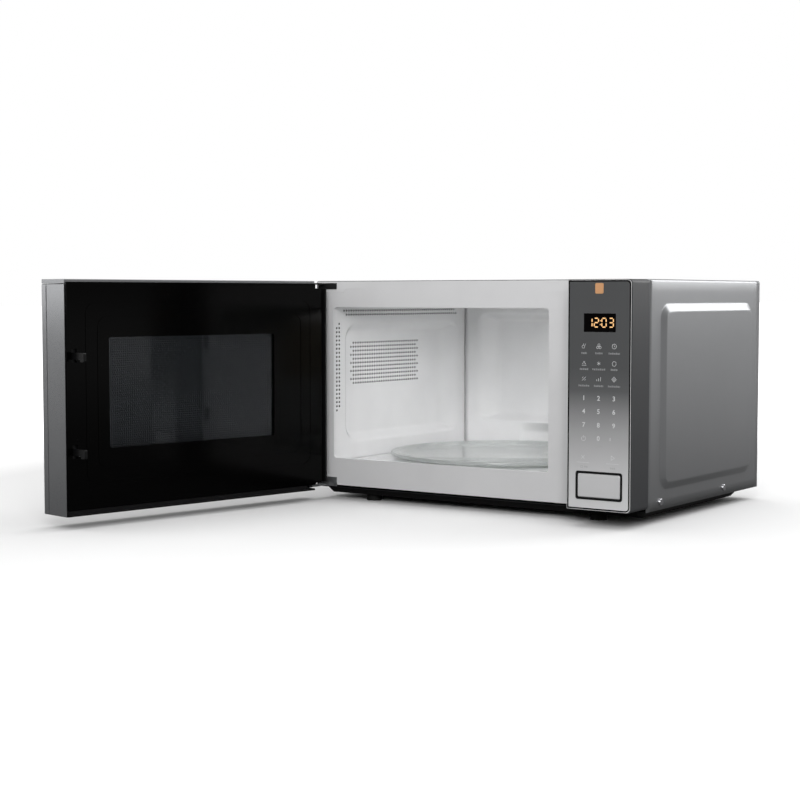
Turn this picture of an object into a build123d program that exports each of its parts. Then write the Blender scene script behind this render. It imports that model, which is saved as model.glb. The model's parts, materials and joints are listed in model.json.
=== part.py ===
"""Countertop microwave oven with a side-hinged door, a push-button latch and a glass turntable.

Millimetres, +Z up.  The origin is on the floor, at the centre of the four feet.  +X is to the right of
someone who faces the door and +Y is towards the back.  The door is modelled closed and then swung open.
"""
from build123d import *
from math import cos, radians, sin
import os

os.makedirs("parts", exist_ok=True)

# ---- driving dimensions: cabinet --------------------------------------------------------------------
case_width = 480.0
case_height = 270.0
case_depth = 325.0
sheet = 0.8
fold_radius = 3.0
foot_height = 8.0
foot_radius = 10.0
foot_spacing_x = 330.0
foot_spacing_y = 240.0
foot_setback = 25.0
foot_recess_radius = 4.5
foot_recess_depth = 2.6
foot_seat_radius = 3.8
foot_seat_depth = 4.4
foot_screw_head_radius = 3.4
foot_screw_head_height = 1.6
foot_screw_length = 8.5
foot_taper = 6.0
tray_drop = 8.0
tray_margin = 6.0
tray_slope = 8.0
tray_end_gap = 42.0
tray_flange = 16.0
tray_corner = 12.0
tray_floor_corner = 6.0
tray_front_gap = 2.0
tray_vent_rows = 5
tray_vent_columns = 9
tray_vent_pitch = 8.0
tray_vent_radius = 2.0
tray_vent_setback = 40.0
plate_rise = 3.4
side_press_depth = 4.2
side_press_margin_front = 33.0
side_press_margin_back = 25.0
side_press_margin_top = 28.0
side_press_margin_bottom = 22.0
side_press_slope = 10.0
side_press_corner = 10.0
screw_head_radius = 4.2
screw_head_height = 2.0
screw_shank_radius = 1.6
screw_length = 3.0
side_screw_setbacks = (37.0, 217.0)
side_screw_rise = 9.0
rear_screw_margin = 9.0
bulge_margin_left = 8.0
bulge_margin_right = 6.0
bulge_margin_bottom = 12.0
bulge_margin_top = 8.0
bulge_corner = 16.0
bulge_slope = 12.0
bulge_clearance = 3.0
grille_rows = 13
grille_columns = 11
grille_pitch = 8.0
grille_hole_radius = 2.6
gland_from_side = 40.0
gland_rise = 34.0
gland_hole_radius = 7.0
gland_body_radius = 6.8
gland_flange_radius = 9.5
gland_bore_radius = 3.75
gland_inner_length = 10.0
gland_outer_length = 6.0

# ---- driving dimensions: cavity ---------------------------------------------------------------------
opening_width = 322.0
opening_margin_left = 27.6
opening_margin_top = 34.2
opening_margin_bottom = 38.8
opening_corner = 4.0
opening_lip = 1.6
opening_lip_depth = 3.0
cavity_depth = 320.0
floor_drop = 4.7
wall = 0.7
wall_press_depth = 8.0
left_press_start = 26.0
left_press_end = 16.0
left_press_margin_bottom = 20.9
left_press_margin_top = 21.4
left_press_slope = 14.0
left_press_rear_slope = 42.0
left_press_corner = 24.0
left_press_floor_corner = 16.0
back_press_depth = 15.0
back_press_margin_side = 20.0
back_press_margin_bottom = 34.0
back_press_margin_top = 10.0
back_press_side_slope = 36.0
back_press_slope = 14.0
back_press_corner = 22.0
back_press_floor_corner = 16.0
vent_pitch = 5.4
vent_hole_radius = 1.45
vent_columns = 29
vent_rows = 11
vent_strip_holes = 50
vent_edge_holes = 21
vent_grid_setback = 50.5
vent_grid_drop = 82.0
vent_strip_setback = 25.0
vent_strip_drop = 38.7
vent_edge_setback = 8.0
vent_edge_drop = 62.4
back_relief_height = 24.0
back_relief_margin = 2.0
back_relief_clearance = 2.5
lamp_from_back = 100.0
lamp_drop = 70.0
lamp_hole_count = 5
lamp_hole_pitch = 6.0
lamp_hole_radius = 1.5

# ---- driving dimensions: turntable ------------------------------------------------------------------
plate_radius = 157.5
plate_glass = 4.0
plate_flat_radius = 127.0
plate_rim_height = 11.2
plate_rim = 5.0
plate_rim_round = 1.6
table_setback = 175.0
recess_depth = 15.0
recess_top_radius = 140.0
recess_bottom_radius = 122.0
roller_radius = 6.2
roller_width = 7.0
roller_track_radius = 106.0
roller_axle_radius = 2.0
ring_width = 5.5
ring_height = 5.0
coupler_radius = 16.0
coupler_arm_width = 7.0
coupler_boss_radius = 7.0
lug_radius = 3.0
lug_circle = 11.0
lug_height = 3.4
motor_radius = 25.0
motor_height = 14.0
motor_shaft_radius = 3.5
motor_bore_depth = 10.0
motor_ear_reach = 8.0
motor_ear_width = 12.0
motor_ear_thickness = 1.5
shaft_below_floor = 9.0
shaft_above_recess = 8.0
shaft_hole_clearance = 3.0
coupler_above_recess = 1.2
coupler_arm_below_lug = 1.0
ring_clearance = 0.6
axle_cap_length = 1.4
axle_cap_lip = 1.4

# ---- driving dimensions: door and control panel -----------------------------------------------------
panel_width = 80.0
panel_overhang = 2.5
panel_projection = 45.0
panel_wall = 2.2
panel_corner = 4.5
overlay_thickness = 1.5
overlay_inset = 0.7
panel_rise = 4.0
door_gap = 1.5
door_overhang = 4.5
door_open_angle = 100.3
door_lip_drop = 1.0
pivot_from_left = 8.9
pivot_from_front = 20.3
pivot_radius = 2.5
pivot_length = 13.0
door_wall = 2.4
bezel_depth = 8.5
cap_height = 5.0
cap_wall = 1.6
cap_seam = 0.3
bezel_seam = 1.6
bezel_seam_depth = 1.8
door_glass_thickness = 3.2
door_glass_inset = 2.0
door_side_setback = 2.0
cover_thickness = 2.0
cover_margin_left = 10.9
cover_margin_side = 1.2
cover_bottom_rise = 6.5
window_left = 90.8
window_right = 58.7
window_top = 66.5
window_bottom = 76.0
window_thickness = 1.0
press_outline_left = 30.0
press_outline_right = 26.0
press_outline_top = 25.7
press_outline_bottom = 36.0
press_outline_corner = 14.0
screen_thickness = 0.6
screen_setback = 8.0
screen_return = 16.0
hinge_notch_height = 9.5
hinge_notch_reach = 12.0
hinge_arm_thickness = 2.0
hinge_arm_width = 11.0
hinge_boss_height = 15.0
hinge_arm_drop = 5.0
hinge_foot_length = 24.0
hinge_foot_thickness = 1.2
upper_hinge_foot = 6.0
lower_hinge_foot = 12.0
hinge_notch_front = 4.0
display_margin_left = 21.6
display_drop = 39.3
display_width = 40.8
display_height = 21.2
display_module_depth = 11.0
board_thickness = 1.6
badge_width = 10.6
badge_height = 12.0
badge_corner = 1.6
badge_thickness = 0.35
badge_drop = 10.8

# ---- driving dimensions: latch and release ----------------------------------------------------------
hook_from_free_edge = 11.0
hook_high_drop = 87.5
hook_low_rise = 73.0
hook_reach = 20.0
hook_thickness = 4.0
hook_shank = 8.0
hook_nose = 2.5
hook_nose_length = 7.0
latch_travel = 3.2
latch_bar_depth = 5.0
latch_bar_width = 12.0
latch_bar_overhang = 14.0
latch_spring_length = 26.0
button_width = 54.5
button_height = 27.3
button_frame_width = 2.7
button_from_overhang = 40.5
button_center_rise = 33.0
button_depth = 8.0
button_stem_radius = 3.0
button_play = 0.3
lever_pivot_depth = 8.0
lever_pivot_above_stem = 26.0
lever_thickness = 4.0
lever_contact_gap = 0.9
spring_wire = 0.6

# ---- driving dimensions: works in the side compartment ----------------------------------------------
fan_radius = 43.0
fan_clearance = 3.0
fan_center_drop = 92.0
fan_blades = 7
core_length = 96.0
core_width = 62.0
core_height = 78.0
capacitor_height = 84.0
magnetron_depth = 92.0
waveguide_depth = 34.0
waveguide_height = 84.0
waveguide_length = 90.0
waveguide_forward = 25.0
waveguide_drop = 24.0
waveguide_wall = 1.2
waveguide_port_inset = 8.0
waveguide_corner = 3.0
antenna_hole_radius = 12.0
antenna_radius = 9.0
antenna_length = 22.0
mica_overlap = 2.0
mica_thickness = 0.5
yoke_thickness = 3.0
yoke_height = 76.0
tube_radius = 20.0
tube_length = 52.0
fin_count = 6
fin_pitch = 7.0
fin_start = 10.0
fin_thickness = 1.0
fin_width = 84.0
fin_height = 68.0
filter_box_length = 24.0
filter_box_width = 72.0
filter_box_height = 60.0
filter_box_wall = 1.0
core_offset = 6.0
core_setback = 112.0
core_window_width = 24.0
core_yoke = 14.0
winding_reach = 11.0
winding_width = 70.0
winding_corner = 9.0
winding_gap = 0.2
winding_sizes = ((15.0, 22.0), (41.0, 20.0))
capacitor_from_back = 96.0
capacitor_offset = 10.0
capacitor_length = 56.0
capacitor_width = 34.0
terminal_spacing = 24.0
terminal_width = 6.0
terminal_thickness = 0.8
terminal_height = 8.0
diode_radius = 4.0
diode_length = 22.0
diode_rise = 8.0
diode_tab_width = 10.0
diode_tab_thickness = 1.0
fan_from_back = 26.0
shroud_thickness = 2.0
shroud_depth = 14.0
shroud_rim = 2.0
shroud_margin_bottom = 12.0
shroud_margin_top = 10.0
fan_leg_spacing = 60.0
fan_leg_width = 6.0
fan_leg_height = 4.0
fan_leg_reach = 22.0
fan_leg_rise = 14.0
fan_motor_width = 66.0
fan_motor_depth = 16.0
fan_motor_height = 30.0
fan_motor_can_radius = 13.0
fan_motor_can_length = 26.0
fan_hub_radius = 11.0
fan_hub_length = 14.0
fan_shaft_radius = 1.6
fan_shaft_length = 36.0
fan_blade_root = 9.0
fan_blade_thickness = 1.4
fan_blade_depth = 20.0
fan_blade_twist = 32.0
lamp_holder_reach = 40.0
lamp_offset = 22.0
lamp_bulb_radius = 10.0
lamp_neck_radius = 7.0
lamp_socket_radius = 9.0
cutout_gap = 14.0
cutout_drop = 30.0
cutout_radius = 8.0
cutout_length = 9.0
cutout_plate_height = 24.0
noise_board_drop = 20.0
noise_board_gap_left = 20.0
noise_board_gap_right = 12.0
noise_board_from_back = 60.0
noise_board_depth = 70.0
choke_outer_radius = 12.0
choke_inner_radius = 6.0
choke_height = 16.0
running_clearance = 0.05
assembly_clearance = 0.3

# ---- places worked out from the driving dimensions --------------------------------------------------
half_width = case_width / 2
tray_bottom = foot_height
case_bottom = tray_bottom + tray_drop
case_top = case_bottom + case_height
front_y = -foot_spacing_y / 2 - foot_setback
back_y = front_y + case_depth
behind_plate = front_y + sheet

opening_x0 = -half_width + opening_margin_left
opening_x1 = opening_x0 + opening_width
opening_z1 = case_top - opening_margin_top
opening_z0 = case_bottom + opening_margin_bottom
cavity_x0 = opening_x0 - opening_lip
cavity_x1 = opening_x1 + opening_lip
cavity_z1 = opening_z1 + opening_lip
cavity_z0 = opening_z0 - floor_drop
cavity_y1 = front_y + cavity_depth
table_x = (opening_x0 + opening_x1) / 2
table_y = front_y + table_setback

recess_z = cavity_z0 - recess_depth
roller_z = recess_z + assembly_clearance + roller_radius
plate_z0 = roller_z + roller_radius + assembly_clearance
plate_z1 = plate_z0 + plate_rim_height

panel_x0 = half_width - panel_width
panel_x1 = half_width + panel_overhang
panel_y0 = front_y - panel_projection
panel_y1 = panel_y0 + overlay_thickness
panel_z0 = case_bottom + panel_rise
panel_z1 = case_top - 0.3

door_x0 = -half_width
door_x1 = panel_x0 - door_gap
door_y0 = panel_y0 - door_overhang
door_y1 = front_y - door_gap
door_z0 = case_bottom - door_lip_drop
door_z1 = case_top - 0.3
door_body_z1 = door_z1 - cap_height - cap_seam
pivot_x = -half_width + pivot_from_left
pivot_y = front_y - pivot_from_front
bezel_y1 = door_y0 + bezel_depth
frame_y0 = bezel_y1 + bezel_seam
frame_y1 = door_y1 - door_side_setback
cover_x0 = door_x0 + cover_margin_left
cover_x1 = door_x1 - cover_margin_side
cover_z1 = door_z1 - cover_margin_side - 2
cover_z0 = case_bottom + cover_bottom_rise
cover_y0 = door_y1 - cover_thickness
window_x0 = door_x0 + window_left
window_x1 = door_x1 - window_right
window_z1 = door_z1 - window_top
window_z0 = door_z0 + window_bottom

hook_x = door_x1 - hook_from_free_edge
hook_levels = [case_top - hook_high_drop, case_bottom + hook_low_rise]
hook_tip_y = front_y + hook_reach
latch_bar_y1 = cover_y0 - 1.0
latch_bar_y0 = latch_bar_y1 - latch_bar_depth
button_x = panel_x1 - button_from_overhang
button_z = case_bottom + button_center_rise
button_back_y = panel_y0 + button_depth
lever_y = behind_plate + lever_pivot_depth
lever_z = button_z + lever_pivot_above_stem
stem_end_y = lever_y - lever_thickness / 2 - lever_contact_gap
bracket_x0 = hook_x - 12.0
bracket_x1 = panel_x1 - 28.0
fan_x = (cavity_x1 + half_width) / 2
fan_z = case_top - fan_center_drop
fan_y = back_y - fan_from_back
compartment_x = (cavity_x1 + half_width) / 2
wall_y0 = behind_plate + opening_lip_depth
gland_x = half_width - gland_from_side
gland_z = case_bottom + gland_rise
lamp_y = cavity_y1 - lamp_from_back
lamp_z = cavity_z1 - lamp_drop
display_x0 = panel_x0 + display_margin_left
display_z1 = case_top - display_drop
display_rect = (display_x0, display_x0 + display_width, display_z1 - display_height, display_z1)

nodes = {}


# ---- shape helpers ----------------------------------------------------------------------------------
def block(x0, x1, y0, y1, z0, z1):
    """Box between two corners."""
    middle = Pos((x0 + x1) / 2, (y0 + y1) / 2, (z0 + z1) / 2)
    return middle * Box(x1 - x0, y1 - y0, z1 - z0)


def rod(point, direction, length, radius):
    """Cylinder from a point along a direction."""
    return extrude(Plane(origin=point, z_dir=direction) * Circle(radius), length)


def tube(point, direction, length, outer, inner):
    """Hollow cylinder from a point along a direction."""
    return rod(point, direction, length, outer) - rod(point, direction, length, inner)


def level_plane(axis, level):
    """Plane square to an axis, whose own x and y run along the other two axes."""
    if axis == "x":
        return Plane.YZ.offset(level)
    if axis == "y":
        return Plane.XZ.offset(-level)
    return Plane.XY.offset(level)


def outline(axis, level, rect, corner=0.0):
    """Rectangle (a0, a1, b0, b1) in row coordinates, with rounded corners if asked."""
    a0, a1, b0, b1 = rect
    if corner > 0:
        flat = RectangleRounded(a1 - a0, b1 - b0, corner)
    else:
        flat = Rectangle(a1 - a0, b1 - b0)
    return level_plane(axis, level) * Pos((a0 + a1) / 2, (b0 + b1) / 2) * flat


def rounded_slab(axis, level0, level1, rect, corner):
    """Plate between two levels along an axis, with rounded corners."""
    sign = -1 if axis == "y" else 1
    return extrude(outline(axis, level0, rect, corner), sign * (level1 - level0))


def inset(rect, amount):
    """Rectangle moved in by an amount on every side."""
    a0, a1, b0, b1 = rect
    return (a0 + amount, a1 - amount, b0 + amount, b1 - amount)


def frustum(axis, level0, rect0, corner0, level1, rect1, corner1):
    """Tapered body between two rounded rectangles."""
    ends = [outline(axis, level0, rect0, corner0), outline(axis, level1, rect1, corner1)]
    return loft(ends, ruled=True)


def pressed_sheet(axis, face, outward, rect, thickness, presses):
    """Flat sheet outward of a face, with tapered areas pressed outward.

    A press is (rect at the face, corner, rect at its bottom, corner, depth).
    """
    back = face + outward * thickness
    low, high = min(face, back), max(face, back)
    body = rounded_slab(axis, low, high, rect, 0.0)
    for rect0, corner0, rect1, corner1, depth in presses:
        bottom = face + outward * (depth + thickness)
        body += frustum(
            axis, face, inset(rect0, -thickness), corner0 + thickness, bottom, inset(rect1, -thickness),
            corner1 + thickness,
        )
    for rect0, corner0, rect1, corner1, depth in presses:
        body -= frustum(axis, face, rect0, corner0, face + outward * depth, rect1, corner1)
    return body


def screw(point, direction, length):
    """Pan-head screw whose head stands on a point, with its shank going back along the direction."""
    back = tuple(-value for value in direction)
    head = rod(point, direction, screw_head_height, screw_head_radius)
    top = Vector(*point) + Vector(*direction) * screw_head_height
    rim = head.edges().filter_by(GeomType.CIRCLE).sort_by_distance(top)[:1]
    head = fillet(rim, screw_head_height * 0.6)
    return head + rod(point, back, length, screw_shank_radius)


def coil(point, direction, length, radius, turns):
    """Compression spring as a row of wire rings tied by two thin wires, standing for the helix."""
    wire = 2 * spring_wire
    spacing = (length - wire) / (turns - 1)
    spring = tube((0, 0, 0), (0, 0, 1), wire, radius + spring_wire, radius - spring_wire)
    for turn in range(1, turns):
        spring += tube((0, 0, spacing * turn), (0, 0, 1), wire, radius + spring_wire, radius - spring_wire)
    for side in (-1, 1):
        spring += Pos(side * radius, 0, length / 2) * Box(spring_wire, spring_wire, length - wire)
    return Plane(origin=point, z_dir=direction).location * spring


def keep(name, body):
    """Store a node's body."""
    nodes[name] = body


def swing_open(body):
    """Turn a piece of the closed door about the hinge to its open position."""
    hinge_line = Pos(pivot_x, pivot_y, 0)
    return hinge_line * Rot(0, 0, -door_open_angle) * Pos(-pivot_x, -pivot_y, 0) * body


# ---- cabinet shell ----------------------------------------------------------------------------------
def casing_block(shrink):
    """Solid of the wrap's outer shape, or of its inside when shrunk by the sheet."""
    body = block(
        -half_width + shrink, half_width - shrink, front_y - (1 if shrink else 0),
        back_y + (1 if shrink else 0), case_bottom - (1 if shrink else 0), case_top - shrink,
    )
    top_edges = body.edges().filter_by(Axis.Y).group_by(Axis.Z)[-1]
    body = fillet(top_edges, fold_radius - shrink)
    base = (
        front_y + side_press_margin_front, back_y - side_press_margin_back,
        case_bottom + side_press_margin_bottom, case_top - side_press_margin_top,
    )
    for side in (-1, 1):
        body += frustum(
            "x", side * (half_width - shrink), inset(base, shrink), side_press_corner + side_press_slope,
            side * (half_width - shrink + side_press_depth), inset(base, side_press_slope + shrink),
            side_press_corner,
        )
    return body


def side_screw_points():
    """Screws along the lower edge of both sides, where the wrap is fixed to the tray's flange."""
    points = []
    z = case_bottom + side_screw_rise
    for setback in side_screw_setbacks:
        for side in (-1, 1):
            points.append(((side * half_width, front_y + setback, z), (side, 0, 0)))
    return points


def rear_screw_points():
    """Screws round the rear panel."""
    points = []
    for x in (-half_width + rear_screw_margin, half_width - rear_screw_margin):
        for z in (case_bottom + rear_screw_margin, case_top - rear_screw_margin):
            points.append(((x, back_y, z), (0, 1, 0)))
    points.append(((0.0, back_y, case_top - rear_screw_margin), (0, 1, 0)))
    return points


def make_outer_casing():
    """Wrap of folded sheet: top and both sides, each side with a large raised press."""
    body = casing_block(0.0) - casing_block(sheet)
    for point, direction in side_screw_points():
        body -= rod((point[0] - direction[0] * 3, point[1], point[2]), direction, 6, screw_shank_radius)
    keep("outer_casing", body)


def make_base_tray():
    """Bottom tray of black sheet: a shallow dish with upturned side flanges, vents and foot holes."""
    edge = half_width - sheet
    end_y = back_y - sheet
    flat = (-edge, edge, behind_plate, end_y)
    rim = (-half_width + tray_margin, half_width - tray_margin, front_y + tray_margin, back_y - tray_end_gap)
    dish = (rim, tray_corner, inset(rim, tray_slope), tray_floor_corner, tray_drop)
    body = pressed_sheet("z", case_bottom + sheet, -1, flat, sheet, [dish])
    for side in (-1, 1):
        x0, x1 = sorted((side * edge, side * (edge - sheet)))
        body += block(x0, x1, behind_plate + tray_front_gap, end_y, case_bottom, case_bottom + tray_flange)
    for point, direction in side_screw_points():
        body -= rod((point[0] - direction[0] * 4, point[1], point[2]), direction, 6, screw_shank_radius)
    holes = []
    for x, y in foot_places():
        holes.append(rod((x, y, tray_bottom - 1), (0, 0, 1), 3, screw_shank_radius))
    vent_x = compartment_x - tray_vent_pitch * (tray_vent_columns - 1) / 2
    for row in range(tray_vent_rows):
        for column in range(tray_vent_columns):
            x = vent_x + tray_vent_pitch * column
            y = front_y + tray_vent_setback + tray_vent_pitch * row
            holes.append(rod((x, y, tray_bottom - 1), (0, 0, 1), 3, tray_vent_radius))
    body -= holes
    keep("base_tray", body)


def foot_places():
    """Centres of the four feet."""
    return [
        (side_x * foot_spacing_x / 2, side_y * foot_spacing_y / 2) for side_x in (-1, 1) for side_y in (-1, 1)
    ]


def make_feet():
    """Four rubber feet, each with a stepped recess open at its sole, and every outside screw."""
    feet = []
    screws = []
    for x, y in foot_places():
        foot = extrude(Plane.XY * Pos(x, y) * Circle(foot_radius), foot_height, taper=foot_taper)
        foot = foot - rod((x, y, 0), (0, 0, 1), foot_recess_depth, foot_recess_radius)
        foot = foot - rod((x, y, 0), (0, 0, 1), foot_seat_depth, foot_seat_radius)
        foot = foot - rod((x, y, 0), (0, 0, 1), foot_height, screw_shank_radius)
        feet.append(foot)
        head_z = foot_seat_depth - foot_screw_head_height
        shank = rod((x, y, head_z), (0, 0, 1), foot_screw_length, screw_shank_radius)
        head = rod((x, y, head_z), (0, 0, 1), foot_screw_head_height, foot_screw_head_radius)
        screws.append(shank + head)
    for point, direction in side_screw_points() + rear_screw_points():
        screws.append(screw(point, direction, screw_length))
    keep("feet", Compound(children=feet))
    keep("screws", Compound(children=screws))


def make_rear_panel():
    """Rear sheet with a bulge over the cavity, a fan grille and the cord's hole."""
    rect = (-half_width + sheet, half_width - sheet, case_bottom + sheet, case_top - sheet)
    bulge_base = (
        cavity_x0 - bulge_margin_left, cavity_x1 + bulge_margin_right, cavity_z0 - bulge_margin_bottom,
        cavity_z1 + bulge_margin_top,
    )
    bulge_depth = back_press_depth + bulge_clearance
    bulge = (bulge_base, bulge_corner, inset(bulge_base, bulge_slope), bulge_slope, bulge_depth)
    body = pressed_sheet("y", back_y - sheet, 1, rect, sheet, [bulge])
    body &= rounded_slab("y", back_y - 1, back_y + 2 * bulge_depth, rect, fold_radius - sheet)
    holes = []
    grille_x = fan_x - grille_pitch * (grille_columns - 1) / 2
    grille_z = fan_z - grille_pitch * (grille_rows - 1) / 2
    for row in range(grille_rows):
        for column in range(grille_columns):
            x = grille_x + grille_pitch * column
            z = grille_z + grille_pitch * row
            if (x - fan_x) ** 2 + (z - fan_z) ** 2 < fan_radius ** 2:
                holes.append(rod((x, back_y - 3, z), (0, 1, 0), 4, grille_hole_radius))
    holes.append(rod((gland_x, back_y - 3, gland_z), (0, 1, 0), 6, gland_hole_radius))
    for point, direction in rear_screw_points():
        holes.append(rod((point[0], point[1] - 3, point[2]), direction, 4, screw_shank_radius))
    body -= holes
    keep("rear_panel", body)


def make_cord_gland():
    """Moulded bush that holds the mains lead in the rear panel."""
    length = gland_inner_length + gland_outer_length
    y0 = back_y - gland_inner_length
    body = rod((gland_x, y0, gland_z), (0, 1, 0), length, gland_body_radius)
    body += rod((gland_x, back_y, gland_z), (0, 1, 0), gland_outer_length, gland_flange_radius)
    body -= rod((gland_x, y0 - 1, gland_z), (0, 1, 0), length + 2, gland_bore_radius)
    keep("cord_gland", body)


def make_front_plate():
    """Painted front frame with the oven opening, hook slots, a stem hole and a hinge-side return."""
    edge = half_width - sheet
    rect = (-edge, edge, case_bottom + plate_rise, case_top - sheet)
    body = rounded_slab("y", front_y, behind_plate, rect, fold_radius - sheet)
    opening = (opening_x0, opening_x1, opening_z0, opening_z1)
    body -= rounded_slab("y", front_y - 1, behind_plate + 1, opening, opening_corner)
    lip_rect = inset(opening, -opening_lip)
    lip = rounded_slab("y", behind_plate, wall_y0, lip_rect, opening_corner)
    lip -= rounded_slab("y", behind_plate, wall_y0, opening, opening_corner)
    body += lip
    for level in hook_levels:
        body -= block(
            hook_x - 8, hook_x + 8, front_y - 1, behind_plate + 1, level - hook_shank / 2 - hook_nose - 4,
            level + hook_shank / 2 + latch_travel + 4,
        )
    body -= rod((button_x, front_y - 1, button_z), (0, 1, 0), 3, button_stem_radius + 0.8)
    keep("front_plate", body)


# ---- cavity -----------------------------------------------------------------------------------------
def make_cavity_left_wall():
    """Left wall: wide press with a long ramp at its rear end, a vent grid and two vent strips."""
    rect = (wall_y0, cavity_y1, cavity_z0, cavity_z1)
    base = (
        front_y + left_press_start, cavity_y1 - left_press_end, cavity_z0 + left_press_margin_bottom,
        cavity_z1 - left_press_margin_top,
    )
    bottom = (
        base[0] + left_press_slope, base[1] - left_press_rear_slope, base[2] + left_press_slope,
        base[3] - left_press_slope,
    )
    press = (base, left_press_corner, bottom, left_press_floor_corner, wall_press_depth)
    body = pressed_sheet("x", cavity_x0, -1, rect, wall, [press])
    holes = []
    reach = wall_press_depth + 3
    start = (cavity_x0 - reach, 0, 0)
    grid_y = front_y + vent_grid_setback
    grid_z = case_top - vent_grid_drop
    for row in range(vent_rows):
        for column in range(vent_columns):
            y = grid_y + vent_pitch * (column + (row + 1) % 2)
            holes.append((y, grid_z - vent_pitch * row))
    for row in range(2):
        for column in range(vent_strip_holes):
            y = front_y + vent_strip_setback + vent_pitch * (column + row)
            holes.append((y, case_top - vent_strip_drop - vent_pitch * row))
    for column in range(2):
        for row in range(vent_edge_holes):
            z = case_top - vent_edge_drop - vent_pitch * (row - column)
            holes.append((front_y + vent_edge_setback + vent_pitch * column, z))
    cutters = [rod((start[0], y, z), (1, 0, 0), reach + 1, vent_hole_radius) for y, z in holes]
    body -= cutters
    keep("cavity_left_wall", body)


def waveguide_rect():
    """Waveguide port in the right wall, as a rectangle in Y and Z."""
    middle_y = table_y - waveguide_forward
    z1 = cavity_z1 - waveguide_drop
    return (middle_y - waveguide_length / 2, middle_y + waveguide_length / 2, z1 - waveguide_height, z1)


def make_cavity_right_wall():
    """Right wall with the waveguide port and lamp holes."""
    rect = (wall_y0, cavity_y1, cavity_z0, cavity_z1)
    body = pressed_sheet("x", cavity_x1, 1, rect, wall, [])
    port = inset(waveguide_rect(), waveguide_port_inset)
    body -= rounded_slab("x", cavity_x1 - 1, cavity_x1 + 2, port, waveguide_corner)
    holes = []
    reach = lamp_hole_pitch * (lamp_hole_count - 1) / 2
    for row in range(lamp_hole_count):
        for column in range(lamp_hole_count):
            y = lamp_y - reach + lamp_hole_pitch * column
            z = lamp_z - reach + lamp_hole_pitch * row
            holes.append(rod((cavity_x1 - 1, y, z), (1, 0, 0), 3, lamp_hole_radius))
    body -= holes
    keep("cavity_right_wall", body)


def make_cavity_ceiling():
    """Ceiling sheet."""
    body = block(
        cavity_x0 - wall, cavity_x1 + wall, wall_y0, cavity_y1 + wall, cavity_z1, cavity_z1 + wall
    )
    keep("cavity_ceiling", body)


def make_cavity_floor():
    """Floor sheet with the round recess in which the roller ring runs."""
    top = block(
        cavity_x0 - wall, cavity_x1 + wall, wall_y0, cavity_y1 + wall, cavity_z0 - wall, cavity_z0
    )
    center = Pos(table_x, table_y)
    dish_out = loft([
        Plane.XY.offset(cavity_z0) * center * Circle(recess_top_radius + wall),
        Plane.XY.offset(recess_z - wall) * center * Circle(recess_bottom_radius + wall),
    ])
    dish_in = loft([
        Plane.XY.offset(cavity_z0) * center * Circle(recess_top_radius),
        Plane.XY.offset(recess_z) * center * Circle(recess_bottom_radius),
    ])
    body = top + dish_out - dish_in
    body -= rod((table_x, table_y, recess_z - 3), (0, 0, 1), 6, motor_shaft_radius + shaft_hole_clearance)
    keep("cavity_floor", body)


def make_cavity_back_wall():
    """Back wall with a wide press outward and a low relief that clears the glass plate's rim."""
    rect = (cavity_x0, cavity_x1, cavity_z0, cavity_z1)
    base = (
        cavity_x0 + back_press_margin_side, cavity_x1 - back_press_margin_side,
        cavity_z0 + back_press_margin_bottom, cavity_z1 - back_press_margin_top,
    )
    bottom = (
        base[0] + back_press_side_slope, base[1] - back_press_side_slope, base[2] + back_press_slope,
        base[3] - back_press_slope,
    )
    press = (base, back_press_corner, bottom, back_press_floor_corner, back_press_depth)
    body = pressed_sheet("y", cavity_y1, 1, rect, wall, [press])
    relief_radius = plate_radius + back_relief_clearance
    relief_x0 = cavity_x0 + back_relief_margin
    relief_x1 = cavity_x1 - back_relief_margin
    relief_box = block(
        relief_x0, relief_x1, cavity_y1 - 0.5, cavity_y1 + 40, cavity_z0, cavity_z0 + back_relief_height
    )
    outer = rod((table_x, table_y, cavity_z0), (0, 0, 1), back_relief_height + wall, relief_radius + wall)
    outer &= block(
        relief_x0, relief_x1, cavity_y1, cavity_y1 + 40, cavity_z0, cavity_z0 + back_relief_height + wall
    )
    inner = rod((table_x, table_y, cavity_z0 - 1), (0, 0, 1), back_relief_height + 1, relief_radius)
    inner &= relief_box
    body = body + outer - inner
    keep("cavity_back_wall", body)


def make_waveguide():
    """Duct from the magnetron to the cavity, and the mica sheet that covers its port."""
    port = waveguide_rect()
    x0 = cavity_x1 + wall
    x1 = x0 + waveguide_depth
    duct = block(x0, x1, *port) - block(x0 - 1, x1 - waveguide_wall, *inset(port, waveguide_wall))
    middle_y = (port[0] + port[1]) / 2
    middle_z = (port[2] + port[3]) / 2
    duct -= rod((x1 - 4, middle_y, middle_z), (1, 0, 0), 6, antenna_hole_radius)
    keep("waveguide", duct)
    cover_rect = inset(port, -mica_overlap)
    cover = rounded_slab("x", cavity_x1 - mica_thickness, cavity_x1, cover_rect, waveguide_corner)
    keep("waveguide_cover", cover)


# ---- turntable --------------------------------------------------------------------------------------
def make_glass_plate():
    """Round glass plate: a flat disc with a raised rim and three lugs that the coupler turns."""
    with BuildPart() as plate:
        with BuildSketch(Plane.XZ):
            with BuildLine():
                Polyline(
                    (0, plate_z0), (plate_flat_radius, plate_z0), (plate_radius, plate_z1 - plate_glass),
                    (plate_radius, plate_z1), (plate_radius - plate_rim, plate_z1),
                    (plate_flat_radius, plate_z0 + plate_glass), (0, plate_z0 + plate_glass), close=True,
                )
            make_face()
        revolve(axis=Axis.Z)
    disc = plate.part
    edge_lines = disc.edges().filter_by(GeomType.CIRCLE).group_by(Axis.Z)[-1]
    disc = fillet(edge_lines, plate_rim_round)
    for turn in range(3):
        angle = radians(60 + 120 * turn)
        x = lug_circle * cos(angle)
        y = lug_circle * sin(angle)
        disc += rod((x, y, plate_z0 - lug_height), (0, 0, 1), lug_height + 1, lug_radius)
    keep("glass_plate", Pos(table_x, table_y) * disc)


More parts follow.
